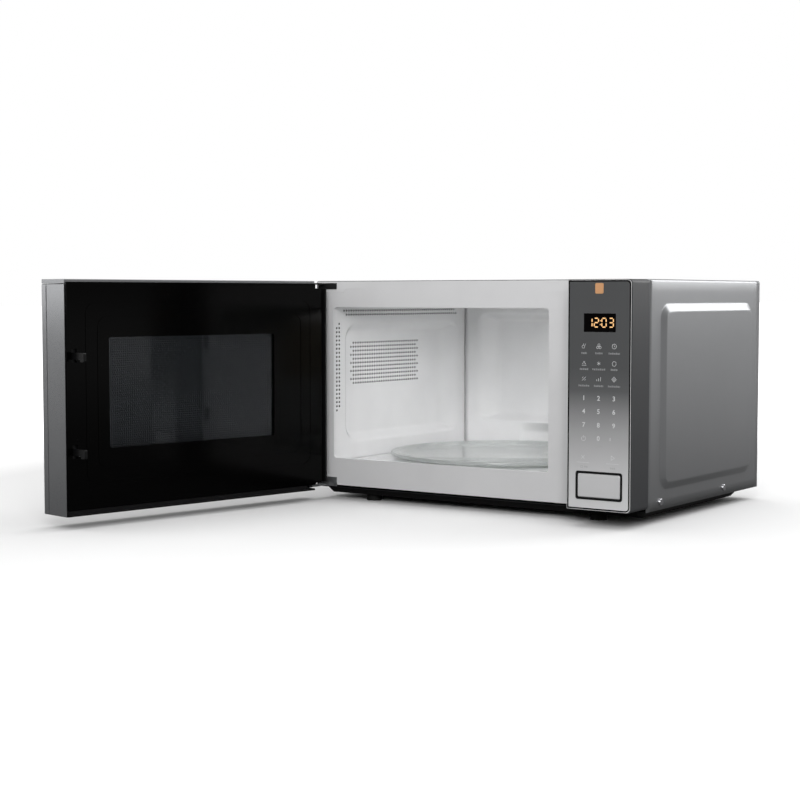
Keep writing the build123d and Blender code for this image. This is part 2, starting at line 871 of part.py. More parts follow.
def make_turntable_drive():
    """Slow motor under the floor, its shaft, and the three-armed coupler."""
    top = recess_z - wall
    ear_x = motor_radius + motor_ear_reach
    ear_y = motor_ear_width / 2
    motor = rod((table_x, table_y, top - motor_height), (0, 0, 1), motor_height, motor_radius)
    motor += block(
        table_x - ear_x, table_x + ear_x, table_y - ear_y, table_y + ear_y, top - motor_ear_thickness, top
    )
    bore_z = top - motor_bore_depth
    motor -= rod((table_x, table_y, bore_z), (0, 0, 1), 12, motor_shaft_radius + running_clearance)
    keep("turntable_motor", motor)
    shaft_z0 = top - shaft_below_floor
    shaft_z1 = recess_z + shaft_above_recess
    shaft = rod((table_x, table_y, shaft_z0), (0, 0, 1), shaft_z1 - shaft_z0, motor_shaft_radius)
    keep("turntable_shaft", shaft)
    z0 = recess_z + coupler_above_recess
    z1 = plate_z0 - assembly_clearance
    coupler = rod((table_x, table_y, z0), (0, 0, 1), z1 - z0, coupler_boss_radius)
    for turn in range(3):
        arm = block(
            0, coupler_radius, -coupler_arm_width / 2, coupler_arm_width / 2,
            plate_z0 - lug_height - coupler_arm_below_lug, z1,
        )
        coupler += Pos(table_x, table_y) * Rot(0, 0, 120 * turn) * arm
    coupler -= rod((table_x, table_y, z0 - 1), (0, 0, 1), shaft_z1 - z0 + 1, motor_shaft_radius)
    keep("turntable_coupler", coupler)


def make_roller_ring():
    """Plastic ring with three stub axles, and a roller on each."""
    inner_radius = roller_track_radius - roller_width / 2 - ring_width - ring_clearance
    z0 = roller_z - ring_height / 2
    ring = tube((table_x, table_y, z0), (0, 0, 1), ring_height, inner_radius + ring_width, inner_radius)
    start = inner_radius + ring_width / 2
    end = roller_track_radius + roller_width / 2
    for turn in range(3):
        place = Pos(table_x, table_y) * Rot(0, 0, 90 + 120 * turn)
        axle = rod((start, 0, roller_z), (1, 0, 0), end + ring_clearance - start, roller_axle_radius)
        cap_x = end + ring_clearance
        cap = rod((cap_x, 0, roller_z), (1, 0, 0), axle_cap_length, roller_axle_radius + axle_cap_lip)
        ring += place * (axle + cap)
        wheel = tube(
            (roller_track_radius - roller_width / 2, 0, roller_z), (1, 0, 0), roller_width, roller_radius,
            roller_axle_radius + running_clearance,
        )
        keep(f"roller_{turn + 1}", place * wheel)
    keep("roller_ring", ring)


# ---- hinges -----------------------------------------------------------------------------------------
def hinge_arm(z0, reach):
    """Flat arm from behind the front plate's face out to the hinge line, with a rounded end."""
    arm = block(
        pivot_x - hinge_arm_width / 2, pivot_x + hinge_arm_width / 2, pivot_y, front_y, z0,
        z0 + hinge_arm_thickness,
    )
    arm += rod((pivot_x, pivot_y, z0), (0, 0, 1), hinge_arm_thickness, hinge_arm_width / 2)
    foot_z0, foot_z1 = (z0 - reach, z0 + hinge_arm_thickness) if reach > 0 else (z0, z0 - reach)
    foot = block(
        pivot_x - hinge_arm_width / 2, pivot_x + hinge_foot_length, front_y - hinge_foot_thickness, front_y,
        foot_z0, foot_z1,
    )
    return arm + foot


def make_hinges():
    """Upper and lower hinge brackets, each with the riveted pin on which the door turns."""
    upper_z = door_z1 - hinge_notch_height + hinge_arm_drop
    lower_z = door_z0 + hinge_notch_height - hinge_arm_drop - hinge_arm_thickness
    upper_pin = rod((pivot_x, pivot_y, upper_z), (0, 0, -1), pivot_length, pivot_radius)
    lower_pin = rod((pivot_x, pivot_y, lower_z + hinge_arm_thickness), (0, 0, 1), pivot_length, pivot_radius)
    keep("upper_hinge", hinge_arm(upper_z, upper_hinge_foot) + upper_pin)
    keep("lower_hinge", hinge_arm(lower_z, -lower_hinge_foot) + lower_pin)


def hinge_notches():
    """Spaces at the door's hinge corners that the two arms turn in."""
    x1 = pivot_x + hinge_notch_reach
    y0 = pivot_y - hinge_arm_width / 2 - hinge_notch_front
    top = block(door_x0 - 1, x1, y0, door_y1 + 1, door_z1 - hinge_notch_height, door_z1 + 1)
    bottom = block(door_x0 - 1, x1, y0, door_y1 + 1, door_z0 - 1, door_z0 + hinge_notch_height)
    return top + bottom


# ---- door -------------------------------------------------------------------------------------------
def make_door_bezel():
    """Front bezel: a shallow tray whose face holds the outer glass."""
    rect = (door_x0, door_x1, door_z0, door_body_z1)
    body = rounded_slab("y", door_y0, bezel_y1, rect, 1.5)
    body -= rounded_slab("y", door_y0 + door_glass_thickness + 2, bezel_y1 + 1, inset(rect, door_wall), 1.0)
    body -= rounded_slab("y", door_y0 - 1, door_y0 + door_glass_thickness, inset(rect, door_glass_inset), 1.0)
    body -= rounded_slab("y", door_y0, bezel_y1, inset(rect, 22.0), 4.0)
    keep("door_bezel", swing_open(body - hinge_notches()))
    glass = rounded_slab(
        "y", door_y0 + 0.3, door_y0 + door_glass_thickness, inset(rect, door_glass_inset), 1.0
    )
    keep("door_glass", swing_open(glass))


def make_door_frame():
    """Deep silver frame round the door, with bosses for the hinge pins and a stop for the latch spring."""
    rect = (door_x0, door_x1, door_z0, door_body_z1)
    body = rounded_slab("y", frame_y0, frame_y1, rect, 1.5)
    body -= rounded_slab("y", frame_y0 - 1, frame_y1 + 1, inset(rect, door_wall), 1.0)
    spine = inset(rect, door_wall + 1.2)
    rib = rounded_slab("y", bezel_y1, frame_y0 + 3, inset(rect, bezel_seam_depth), 1.0)
    rib -= rounded_slab("y", bezel_y1 - 1, frame_y0 + 4, spine, 1.0)
    body += rib
    for z0 in (door_z0 + hinge_notch_height, door_z1 - hinge_notch_height - hinge_boss_height):
        body += block(
            door_x0 + 1, pivot_x + hinge_notch_reach, pivot_y - hinge_arm_width / 2 - 1, pivot_y + 8, z0,
            z0 + hinge_boss_height,
        )
    stop_z = hook_levels[0] + latch_bar_overhang + latch_spring_length
    body += block(
        hook_x - latch_bar_width / 2, door_x1 - door_wall, latch_bar_y0 - 6, frame_y1, stop_z, stop_z + 3
    )
    body -= hinge_notches()
    body -= rod((pivot_x, pivot_y, door_z0), (0, 0, 1), door_z1 - door_z0, pivot_radius + running_clearance)
    keep("door_frame", swing_open(body))


def make_door_screen():
    """Steel pan of the door: the screened window sheet and the choke channel's return round it."""
    rect = (cover_x0 + 14, cover_x1 - 26, cover_z0 + 14, cover_z1 - 14)
    y1 = cover_y0 - screen_setback
    body = rounded_slab("y", y1 - screen_thickness, y1, rect, 4.0)
    rim = rounded_slab("y", y1 - screen_return, y1, rect, 4.0)
    rim -= rounded_slab("y", y1 - screen_return - 1, y1 + 1, inset(rect, screen_thickness), 4.0)
    keep("door_screen", swing_open(body + rim))


def make_door_cover():
    """Black inner cover with the window opening, a raised outline press and the two hook slots."""
    rect = (cover_x0, cover_x1, cover_z0, cover_z1)
    body = rounded_slab("y", cover_y0, door_y1, rect, 2.0)
    opening = (window_x0, window_x1, window_z0, window_z1)
    body -= rounded_slab("y", cover_y0 - 1, door_y1 + 1, opening, 3.0)
    press_x0 = door_x0 + press_outline_left
    press_x1 = door_x1 - press_outline_right
    press = (press_x0, press_x1, door_z0 + press_outline_bottom, door_z1 - press_outline_top)
    for edge in (0.0, 16.0):
        groove = rounded_slab("y", door_y1 - 0.5, door_y1 + 1, inset(press, edge), press_outline_corner)
        inner = inset(press, edge + 1.0)
        groove -= rounded_slab("y", door_y1 - 2, door_y1 + 2, inner, press_outline_corner - 1)
        body -= groove
    for level in hook_levels:
        body -= block(
            hook_x - hook_thickness / 2 - 1.5, hook_x + hook_thickness / 2 + 1.5, cover_y0 - 1, door_y1 + 1,
            level - hook_shank / 2 - hook_nose - 1, level + hook_shank / 2 + latch_travel + 1,
        )
    keep("door_inner_cover", swing_open(body - hinge_notches()))
    window = rounded_slab("y", cover_y0 - window_thickness, cover_y0, inset(opening, -6), 3.0)
    keep("door_window", swing_open(window))


def make_door_lip():
    """Thin lower trim under the inner cover, from the free edge to short of the hinge."""
    x0 = door_x0 + 35.0
    body = block(x0, door_x1 - door_wall, cover_y0, door_y1, door_z0 + 0.6, cover_z0 - 0.6)
    body -= block(x0 - 1, door_x1, cover_y0 + 1.0, door_y1 + 1, door_z0 + 2.2, cover_z0)
    keep("door_lower_trim", swing_open(body))


def make_door_cap():
    """Channel along the door's top edge, over the bezel and the frame."""
    z0 = door_z1 - cap_height
    body = block(door_x0, door_x1, door_y0 + 0.4, frame_y1, z0, door_z1)
    body = fillet(body.edges().filter_by(Axis.X).group_by(Axis.Z)[-1], 1.0)
    body -= block(
        door_x0 + cap_wall, door_x1 - cap_wall, door_y0 + 0.4 + cap_wall, frame_y1 - cap_wall, z0 - 1,
        door_z1 - cap_wall,
    )
    keep("door_cap", swing_open(body - hinge_notches()))


def make_latch():
    """Sliding bar with two hooks inside the door's free edge, and the spring that holds it down."""
    low = hook_levels[1] - latch_bar_overhang
    high = hook_levels[0] + latch_bar_overhang
    bar = block(
        hook_x - latch_bar_width / 2, hook_x + latch_bar_width / 2, latch_bar_y0, latch_bar_y1, low, high
    )
    for level in hook_levels:
        bar += block(
            hook_x - hook_thickness / 2, hook_x + hook_thickness / 2, latch_bar_y1 - 1, hook_tip_y,
            level - hook_shank / 2, level + hook_shank / 2,
        )
        bar += block(
            hook_x - hook_thickness / 2, hook_x + hook_thickness / 2, hook_tip_y - hook_nose_length, hook_tip_y,
            level - hook_shank / 2 - hook_nose, level,
        )
    tips = bar.edges().filter_by(Axis.X).group_by(Axis.Y)[-1]
    bar = fillet(tips, 1.8)
    keep("latch_bar", swing_open(bar))
    middle_y = (latch_bar_y0 + latch_bar_y1) / 2
    spring = coil((hook_x, middle_y, high + 0.2), (0, 0, 1), latch_spring_length - 0.4, 2.4, 8)
    keep("latch_spring", swing_open(spring))


# ---- control panel ----------------------------------------------------------------------------------
def panel_profile(y0, y1, shrink):
    """Panel outline with rounded right-hand corners, between two depths."""
    rect = (panel_x0 + shrink, panel_x1 - shrink, panel_z0 + shrink, panel_z1 - shrink)
    body = rounded_slab("y", y0, y1, rect, 0.0)
    corners = body.edges().filter_by(Axis.Y).group_by(Axis.X)[-1]
    return fillet(corners, panel_corner)


def button_rect(grow):
    """Release button's outline, grown by an amount."""
    return (
        button_x - button_width / 2 - grow, button_x + button_width / 2 + grow,
        button_z - button_height / 2 - grow, button_z + button_height / 2 + grow,
    )


def make_panel():
    """Control panel: hollow housing, printed face sheet, display, key board and a plain badge plate."""
    body = panel_profile(panel_y1, front_y, 0.0)
    body -= panel_profile(panel_y1 + panel_wall, front_y + 1, panel_wall)
    hole = button_rect(button_frame_width)
    body -= rounded_slab("y", panel_y1 - 1, panel_y1 + 5, hole, 3.0)
    body -= rounded_slab("y", panel_y1 - 1, panel_y1 + 5, display_rect, 1.0)
    keep("panel_housing", body)
    face = panel_profile(panel_y0, panel_y1, overlay_inset)
    face -= rounded_slab("y", panel_y0 - 1, panel_y1 + 1, hole, 3.0)
    keep("panel_face", face)
    board_y = panel_y1 + display_module_depth
    module = rounded_slab("y", panel_y1, board_y, inset(display_rect, assembly_clearance), 1.0)
    keep("display_module", module)
    button_top = button_z + button_height / 2
    board = block(
        panel_x0 + 6, panel_x1 - 6, board_y, board_y + board_thickness, button_top + 10, panel_z1 - 8
    )
    keep("control_board", board)
    keys = block(
        panel_x0 + 8, panel_x1 - 8, panel_y1 + panel_wall, panel_y1 + panel_wall + 1.2, button_top + 12,
        display_rect[2] - 4,
    )
    keep("touch_key_foil", keys)
    badge_x = display_x0 + display_width / 2 - 0.8
    badge_z = case_top - badge_drop
    badge_rect = (
        badge_x - badge_width / 2, badge_x + badge_width / 2, badge_z - badge_height / 2,
        badge_z + badge_height / 2,
    )
    badge = rounded_slab("y", panel_y0 - badge_thickness, panel_y0, badge_rect, badge_corner)
    keep("panel_badge", badge)


def make_release_button():
    """Push button with its frame, stem, return spring and the bell-crank that lifts the hooks."""
    hole = button_rect(button_frame_width)
    frame = rounded_slab("y", panel_y0 - 0.6, button_back_y - 1, hole, 3.0)
    frame -= rounded_slab("y", panel_y0 - 2, button_back_y, button_rect(button_play), 2.0)
    keep("button_frame", frame)
    cap = rounded_slab("y", panel_y0 - 0.5, button_back_y, button_rect(0.0), 2.0)
    front_edges = cap.edges().group_by(Axis.Y)[0]
    cap = chamfer(front_edges, 0.7)
    cap += rounded_slab("y", button_back_y - 0.5, button_back_y + 1.5, button_rect(1.6), 2.0)
    cap += rod((button_x, button_back_y, button_z), (0, 1, 0), stem_end_y - button_back_y, button_stem_radius)
    keep("release_button", cap)
    spring_start = button_back_y + 1.7
    spring = coil((button_x, spring_start, button_z), (0, 1, 0), front_y - 0.2 - spring_start, 5.2, 9)
    keep("button_spring", spring)
    hub = tube(
        (hook_x - 5, lever_y, lever_z), (1, 0, 0), button_x + 7 - hook_x, 4.2, 2.0 + running_clearance
    )
    press_arm = block(
        button_x - 5, button_x + 2, lever_y - lever_thickness / 2, lever_y + lever_thickness / 2,
        button_z - 5, lever_z - 3.4,
    )
    lift_arm = block(
        hook_x - 5, hook_x + 5, lever_y + 3.2, lever_y + 13, lever_z - 2, lever_z + lever_thickness - 2
    )
    keep("release_lever", hub + press_arm + lift_arm)


def make_interlock():
    """Bracket behind the front plate: keepers for the hooks, the lever's axle, and the switches."""
    y0 = behind_plate
    post_x0 = hook_x - 14
    body = block(post_x0 - 1.5, post_x0, y0, y0 + 34, lever_z - 10, hook_levels[0] + 26)
    for level in hook_levels:
        keeper_z1 = level - hook_shank / 2 - 0.5
        body += block(
            post_x0 - 1, hook_x + 7, y0 + 5, hook_tip_y - hook_nose_length - 0.6, keeper_z1 - 4, keeper_z1
        )
    ear_z0 = lever_z - 6
    for x in (bracket_x0, bracket_x1 - 2):
        body += block(x, x + 2, y0, y0 + 14, ear_z0, lever_z + 5)
    body += block(post_x0 - 1, bracket_x1, y0, y0 + 1.2, ear_z0 - 4, ear_z0)
    body -= rod((button_x, y0 - 1, button_z), (0, 1, 0), 4, button_stem_radius + 1)
    body += rod((bracket_x0, lever_y, lever_z), (1, 0, 0), bracket_x1 - bracket_x0, 2.0)
    keep("interlock_bracket", body)
    switches = []
    for level in (hook_levels[0], hook_levels[0] - 30, hook_levels[1]):
        switches.append(block(
            post_x0, post_x0 + 20, hook_tip_y + 2.5, hook_tip_y + 12, level - 8, level + 8
        ))
    keep("interlock_switches", Compound(children=switches))


# ---- works in the side compartment ------------------------------------------------------------------
def make_magnetron():
    """Magnetron: antenna and body, cooling fins, and the shielded filter box."""
    y0, y1, z0, z1 = waveguide_rect()
    y, z = (y0 + y1) / 2, (z0 + z1) / 2
    x = cavity_x1 + wall + waveguide_depth

    def upright(x0, x1, width, height):
        """Box about the magnetron's axis."""
        return block(x0, x1, y - width / 2, y + width / 2, z - height / 2, z + height / 2)

    yoke = upright(x, x + yoke_thickness, magnetron_depth, yoke_height)
    yoke += rod((x - antenna_length, y, z), (1, 0, 0), antenna_length, antenna_radius)
    yoke += rod((x, y, z), (1, 0, 0), tube_length, tube_radius)
    keep("magnetron", yoke)
    fins = []
    for step in range(fin_count):
        fin_x = x + fin_start + fin_pitch * step
        fin = upright(fin_x, fin_x + fin_thickness, fin_width, fin_height)
        fins.append(fin - rod((fin_x - 1, y, z), (1, 0, 0), 3, tube_radius))
    keep("magnetron_fins", Compound(children=fins))
    box_x0 = x + tube_length
    box_x1 = box_x0 + filter_box_length
    box = upright(box_x0, box_x1, filter_box_width, filter_box_height)
    box -= upright(
        box_x0 + filter_box_wall, box_x1 - filter_box_wall, filter_box_width - 2 * filter_box_wall,
        filter_box_height - 2 * filter_box_wall,
    )
    keep("filter_box", box)


def make_power_supply():
    """High-voltage transformer, capacitor and diode."""
    z0 = tray_bottom + sheet
    x = compartment_x + core_offset
    y = front_y + core_setback
    core_x0 = x - core_width / 2
    core_x1 = x + core_width / 2
    core = block(core_x0, core_x1, y - core_length / 2, y + core_length / 2, z0, z0 + core_height)
    for side in (-1, 1):
        window_y = y + side * core_length / 4
        core -= block(
            x - core_width, x + core_width, window_y - core_window_width / 2, window_y + core_window_width / 2,
            z0 + core_yoke, z0 + core_height - core_yoke,
        )
    keep("transformer_core", core)
    windings = []
    limb = core_length / 2 - core_window_width
    for rise, size in winding_sizes:
        level = z0 + rise
        reach = core_width / 2 + winding_reach
        half_winding = winding_width / 2
        winding = block(x - reach, x + reach, y - half_winding, y + half_winding, level, level + size)
        winding = fillet(winding.edges().filter_by(Axis.Z), winding_corner)
        hole_y = limb / 2 + winding_gap
        winding -= block(core_x0, core_x1, y - hole_y, y + hole_y, level - 1, level + size + 1)
        windings.append(winding)
    keep("transformer_windings", Compound(children=windings))
    can_x = compartment_x + capacitor_offset
    can_y = back_y - capacitor_from_back
    can_z = z0 + capacitor_height
    can = SlotOverall(capacitor_length, capacitor_width)
    body = extrude(Plane.XY.offset(z0) * Pos(can_x, can_y) * can, capacitor_height)
    for side in (-1, 1):
        middle = can_x + side * terminal_spacing / 2
        body += block(
            middle - terminal_width / 2, middle + terminal_width / 2, can_y - terminal_thickness / 2,
            can_y + terminal_thickness / 2, can_z, can_z + terminal_height,
        )
    keep("capacitor", body)
    diode_x = can_x - 12
    diode_y = can_y - 30
    diode = rod((diode_x, diode_y, z0 + diode_rise), (0, 0, 1), diode_length, diode_radius)
    diode += block(
        diode_x - diode_tab_width / 2, diode_x + diode_tab_width / 2, diode_y - diode_tab_thickness / 2,
        diode_y + diode_tab_thickness / 2, z0, z0 + diode_rise + 1,
    )
    keep("high_voltage_diode", diode)


def make_fan():
    """Cooling fan: shroud plate with two legs for the motor, the motor, and the bladed wheel."""
    z = fan_z
    plate_y = fan_y
    hole_radius = fan_radius + fan_clearance
    low = z - fan_radius - shroud_margin_bottom
    leg_y = plate_y - fan_leg_reach
    motor_y = leg_y - shroud_thickness
    shroud = block(
        cavity_x1 + 3, half_width - 3 * sheet, plate_y, plate_y + shroud_thickness, low,
        z + fan_radius + shroud_margin_top,
    )
    shroud -= rod((fan_x, plate_y - 1, z), (0, 1, 0), 4, hole_radius)
    shroud += tube((fan_x, plate_y, z), (0, 1, 0), shroud_depth, hole_radius + shroud_rim, hole_radius)
    for side in (-1, 1):
        middle = fan_x + side * fan_leg_spacing / 2
        x0 = middle - fan_leg_width / 2
        x1 = middle + fan_leg_width / 2
        shroud += block(x0, x1, leg_y, plate_y + shroud_thickness, low, low + fan_leg_height)
        shroud += block(x0, x1, motor_y, leg_y, low, z + fan_leg_rise)
    keep("fan_shroud", shroud)
    motor = block(
        fan_x - fan_motor_width / 2, fan_x + fan_motor_width / 2, motor_y - fan_motor_depth, motor_y,
        z - fan_motor_height / 2, z + fan_motor_height / 2,
    )
    can_y = motor_y - fan_motor_depth - 6
    motor += rod((fan_x, can_y, z), (0, 1, 0), fan_motor_can_length, fan_motor_can_radius)
    motor -= rod((fan_x, can_y + 4, z), (0, 1, 0), 30, fan_shaft_radius + running_clearance)
    keep("fan_motor", motor)
    wheel = rod((fan_x, plate_y - 3, z), (0, 1, 0), fan_hub_length, fan_hub_radius)
    wheel += rod((fan_x, can_y + 8, z), (0, 1, 0), fan_shaft_length, fan_shaft_radius)
    blade_plan = block(
        fan_blade_root, fan_radius, -fan_blade_thickness / 2, fan_blade_thickness / 2, -fan_blade_depth / 2,
        fan_blade_depth / 2,
    )
    for turn in range(fan_blades):
        blade = Rot(fan_blade_twist, 0, 0) * blade_plan
        place = Pos(fan_x, plate_y + 4, z) * Rot(90, 0, 0) * Rot(0, 0, 360 / fan_blades * turn)
        wheel += place * blade
    wheel &= rod((fan_x, can_y + 6, z), (0, 1, 0), 60, fan_radius)
    keep("fan_wheel", wheel)


def make_small_electrics():
    """Lamp and holder, thermal cut-out and noise filter board."""
    x = cavity_x1 + wall
    y = lamp_y
    z = lamp_z
    middle = x + lamp_offset
    holder = block(x + 3, x + lamp_holder_reach, y - 16, y + 16, z + 12, z + 15)
    frame = block(x, x + 3, y - 20, y + 20, z - 20, z + 22)
    holder += frame - block(x - 1, x + 4, y - 14, y + 14, z - 14, z + 11)
    holder += rod((middle, y, z + 4), (0, 0, 1), 9, lamp_socket_radius)
    keep("lamp_holder", holder)
    bulb = Pos(middle, y, z - 8) * Sphere(lamp_bulb_radius)
    bulb += rod((middle, y, z - 2), (0, 0, 1), 6, lamp_neck_radius)
    keep("cavity_lamp", bulb)
    cutout_y = waveguide_rect()[1] + cutout_gap
    cutout_z = cavity_z1 - cutout_drop
    half_plate = cutout_plate_height / 2
    cutout = rod((x, cutout_y, cutout_z), (1, 0, 0), cutout_length, cutout_radius)
    cutout += block(
        x, x + 1, cutout_y - cutout_radius, cutout_y + cutout_radius, cutout_z - half_plate,
        cutout_z + half_plate,
    )
    keep("thermal_cutout", cutout)
    board_z = case_top - noise_board_drop
    board_y1 = back_y - noise_board_from_back
    board_y0 = board_y1 - noise_board_depth
    board = block(
        cavity_x1 + noise_board_gap_left, half_width - noise_board_gap_right, board_y0, board_y1, board_z,
        board_z + board_thickness,
    )
    choke_z = board_z - choke_height
    choke = (fan_x, board_y1 - 30, choke_z)
    board += tube(choke, (0, 0, 1), choke_height, choke_outer_radius, choke_inner_radius)
    board += block(fan_x - 34, fan_x - 20, board_y0 + 10, board_y0 + 34, board_z - 14, board_z)
    keep("noise_filter_board", board)


for make in (
    make_outer_casing, make_base_tray, make_feet, make_rear_panel, make_cord_gland,
    make_front_plate, make_cavity_left_wall, make_cavity_right_wall, make_cavity_ceiling, make_cavity_floor,
    make_cavity_back_wall, make_waveguide, make_glass_plate, make_turntable_drive, make_roller_ring,
    make_hinges, make_door_bezel, make_door_frame, make_door_screen, make_door_cover, make_door_lip,
    make_door_cap, make_latch, make_panel, make_release_button, make_interlock, make_magnetron,
    make_power_supply, make_fan, make_small_electrics,
):
    make()

for name, body in nodes.items():
    export_step(body, f"parts/{name}.step")
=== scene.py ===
"""Looks, lights and camera of the countertop microwave oven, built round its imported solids.

Lengths are metres, and those that the code multiplies by MM are given in millimetres.
"""
import json
import math

import bmesh
import bpy
import numpy as np
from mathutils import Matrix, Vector

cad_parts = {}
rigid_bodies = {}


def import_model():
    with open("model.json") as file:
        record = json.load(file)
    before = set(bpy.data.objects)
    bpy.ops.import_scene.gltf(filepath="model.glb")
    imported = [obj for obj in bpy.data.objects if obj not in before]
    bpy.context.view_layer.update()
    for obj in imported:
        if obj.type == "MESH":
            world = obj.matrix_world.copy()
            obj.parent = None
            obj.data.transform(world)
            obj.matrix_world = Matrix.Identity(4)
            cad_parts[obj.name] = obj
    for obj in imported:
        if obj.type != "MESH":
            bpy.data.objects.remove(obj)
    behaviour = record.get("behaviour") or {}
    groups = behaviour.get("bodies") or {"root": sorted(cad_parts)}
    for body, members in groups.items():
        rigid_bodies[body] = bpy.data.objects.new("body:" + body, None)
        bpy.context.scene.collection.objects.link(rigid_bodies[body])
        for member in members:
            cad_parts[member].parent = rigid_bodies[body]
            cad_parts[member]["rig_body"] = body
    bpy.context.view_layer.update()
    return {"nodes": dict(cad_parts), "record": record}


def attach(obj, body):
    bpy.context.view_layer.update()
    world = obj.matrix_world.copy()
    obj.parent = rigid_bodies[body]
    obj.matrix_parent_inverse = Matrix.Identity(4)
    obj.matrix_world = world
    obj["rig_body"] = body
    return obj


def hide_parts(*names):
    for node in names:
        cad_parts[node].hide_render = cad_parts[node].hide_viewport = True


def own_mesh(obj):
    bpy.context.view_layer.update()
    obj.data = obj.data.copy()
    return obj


MM = 0.001
DOOR_ANGLE = math.radians(100.3)
# x and y of the upright hinge line
HINGE_LINE = np.array([-0.2311, -0.1653])
# outside of the case
HALF_WIDTH = 0.24
BASE = 0.016
TOP = 0.286
FRONT = -0.145
BACK = 0.18
# where the oven's left and back walls lie and end
WALL_LEFT = -0.214
WALL_RIGHT = 0.1112
WALL_BACK = 0.175
WALL_LOW = 0.0501
WALL_HIGH = 0.2534
# the screen's window and sheet, with the door shut
WINDOW_LEFT = -0.152
WINDOW_RIGHT = 0.103
WINDOW_LOW = 0.0885
WINDOW_HIGH = 0.2215
SCREEN_FACE = -0.1565
SCREEN_SHEET = 0.0006
# front of the printed panel face
PANEL_FRONT = -0.190
# millimetres across to the three columns of keys
KEY_COLUMNS = (182.0, 201.0, 220.6)
# millimetres of height of the large numerals
NUMERAL_SIZE = 7.6
# degrees above which an edge of a shown solid is sharp
SHARP_ANGLE = 30.0
# noise mostly lies between these
NOISE_LOW = 0.3
NOISE_HIGH = 0.7

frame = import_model()
scene = bpy.context.scene
cad = frame["nodes"]


# ---- camera -----------------------------------------------------------------------------------------
camera = bpy.data.objects.new("camera", bpy.data.cameras.new("camera"))
camera.location = (1.083, -1.8493, 0.2666)
camera.rotation_euler = (math.radians(86.36), 0.0, math.radians(34.92))
camera.data.lens = 73.67
camera.data.sensor_width = 36.0
camera.data.clip_end = 200.0
scene.collection.objects.link(camera)
scene.camera = camera
scene.view_settings.view_transform = "Standard"


# ---- colour and node helpers ------------------------------------------------------------------------
def linear(code):
    """Hex sRGB colour to linear RGBA."""
    channels = [int(code[i:i + 2], 16) / 255 for i in (1, 3, 5)]
    return [c / 12.92 if c <= 0.04045 else ((c + 0.055) / 1.055) ** 2.4 for c in channels] + [1.0]


def add(tree, kind, settings=None, inputs=None):
    """A node of a kind with its settings, and its inputs set or linked."""
    node = tree.nodes.new("ShaderNode" + kind)
    for key, value in (settings or {}).items():
        setattr(node, key, value)
    for key, value in (inputs or {}).items():
        socket = node.inputs[key]
        if isinstance(value, bpy.types.NodeSocket):
            tree.links.new(value, socket)
        else:
            socket.default_value = value
    return node


def ramp(tree, factor, stops):
    """Colour ramp with (position, hex colour) stops."""
    node = add(tree, "ValToRGB", {}, {0: factor})
    band = node.color_ramp
    while len(band.elements) < len(stops):
        band.elements.new(0.5)
    for element, (position, code) in zip(band.elements, stops):
        element.position = position
        element.color = linear(code)
    return node.outputs["Color"]


def start(name):
    """A new material with its node tree, cleared, and its output node."""
    material = bpy.data.materials.new(name)
    material.use_nodes = True
    tree = material.node_tree
    tree.nodes.clear()
    return material, tree, add(tree, "OutputMaterial")


def place_of(tree):
    """The object's own coordinates, in metres."""
    return add(tree, "TexCoord").outputs["Object"]


def grain(tree, place, size, stretch=(1, 1, 1), detail=3.0):
    """Noise whose features are about a size in metres, drawn out along an axis if asked."""
    scale = [1 / (size * s) for s in stretch]
    moved = add(tree, "Mapping", {}, {"Vector": place, "Scale": scale})
    noise = add(tree, "TexNoise", {}, {"Vector": moved.outputs[0], "Scale": 1.0, "Detail": detail})
    return noise.outputs["Fac"]


def spread(tree, factor, low, high):
    """A factor carried onto a range of values."""
    return add(tree, "MapRange", {}, {
        "Value": factor, "From Min": NOISE_LOW, "From Max": NOISE_HIGH, "To Min": low, "To Max": high,
    }).outputs["Result"]


def tinted(tree, base, factor, amount):
    """A colour made lighter and darker by a factor, by an amount either way."""
    level = spread(tree, factor, 1 - amount, 1 + amount)
    mixed = add(tree, "VectorMath", {"operation": "SCALE"}, {0: base, "Scale": level})
    return mixed.outputs[0]


def finish(
    name, colour, rough, metal=0.0, specular=0.5, tint=0.04, size=1.0, stretch=(1, 1, 1), rough_spread=0.05,
    bump=0.0, bump_size=1.0, coat=0.0, coat_rough=0.1, colouring=None, wear=0.02,
):
    """Principled material with fine grain in colour, roughness and height, and broad faint unevenness.

    colour is a hex code; colouring, if given, is a function of (tree, place) that returns the colour
    socket instead.  size, bump and bump_size are millimetres.
    """
    material, tree, output = start(name)
    place = place_of(tree)
    fine = grain(tree, place, size * MM, stretch)
    broad = grain(tree, place, 0.045, detail=2.0)
    base = colouring(tree, place) if colouring else linear(colour)[:3]
    base = tinted(tree, base, fine, tint)
    base = tinted(tree, base, broad, wear)
    inputs = {
        "Base Color": base,
        "Metallic": metal,
        "Roughness": spread(tree, fine, max(rough - rough_spread, 0.01), rough + rough_spread),
        "Specular IOR Level": specular,
        "Coat Weight": coat,
        "Coat Roughness": coat_rough,
    }
    if bump:
        height = grain(tree, place, bump_size * MM, stretch)
        inputs["Normal"] = add(
            tree, "Bump", {}, {"Height": height, "Distance": bump * MM, "Strength": 1.0}
        ).outputs[0]
    shader = add(tree, "BsdfPrincipled", {}, inputs)
    tree.links.new(shader.outputs[0], output.inputs["Surface"])
    return material


def up(tree, place, low, high):
    """Height between two levels as 0 to 1."""
    z = add(tree, "SeparateXYZ", {}, {0: place}).outputs["Z"]
    return add(tree, "MapRange", {}, {"Value": z, "From Min": low, "From Max": high}).outputs["Result"]


# ---- materials --------------------------------------------------------------------------------------
def panel_print(tree, place):
    """Printed fade of the panel: dark above, silver below."""
    height = up(tree, place, 0.020, 0.286)
    return ramp(tree, height, [(0.0, "#DADADB"), (0.16, "#CBCBCC"), (0.34, "#A4A4A5"), (0.52, "#5C5D5E"),
                               (0.62, "#505152"), (1.0, "#4E4F50")])


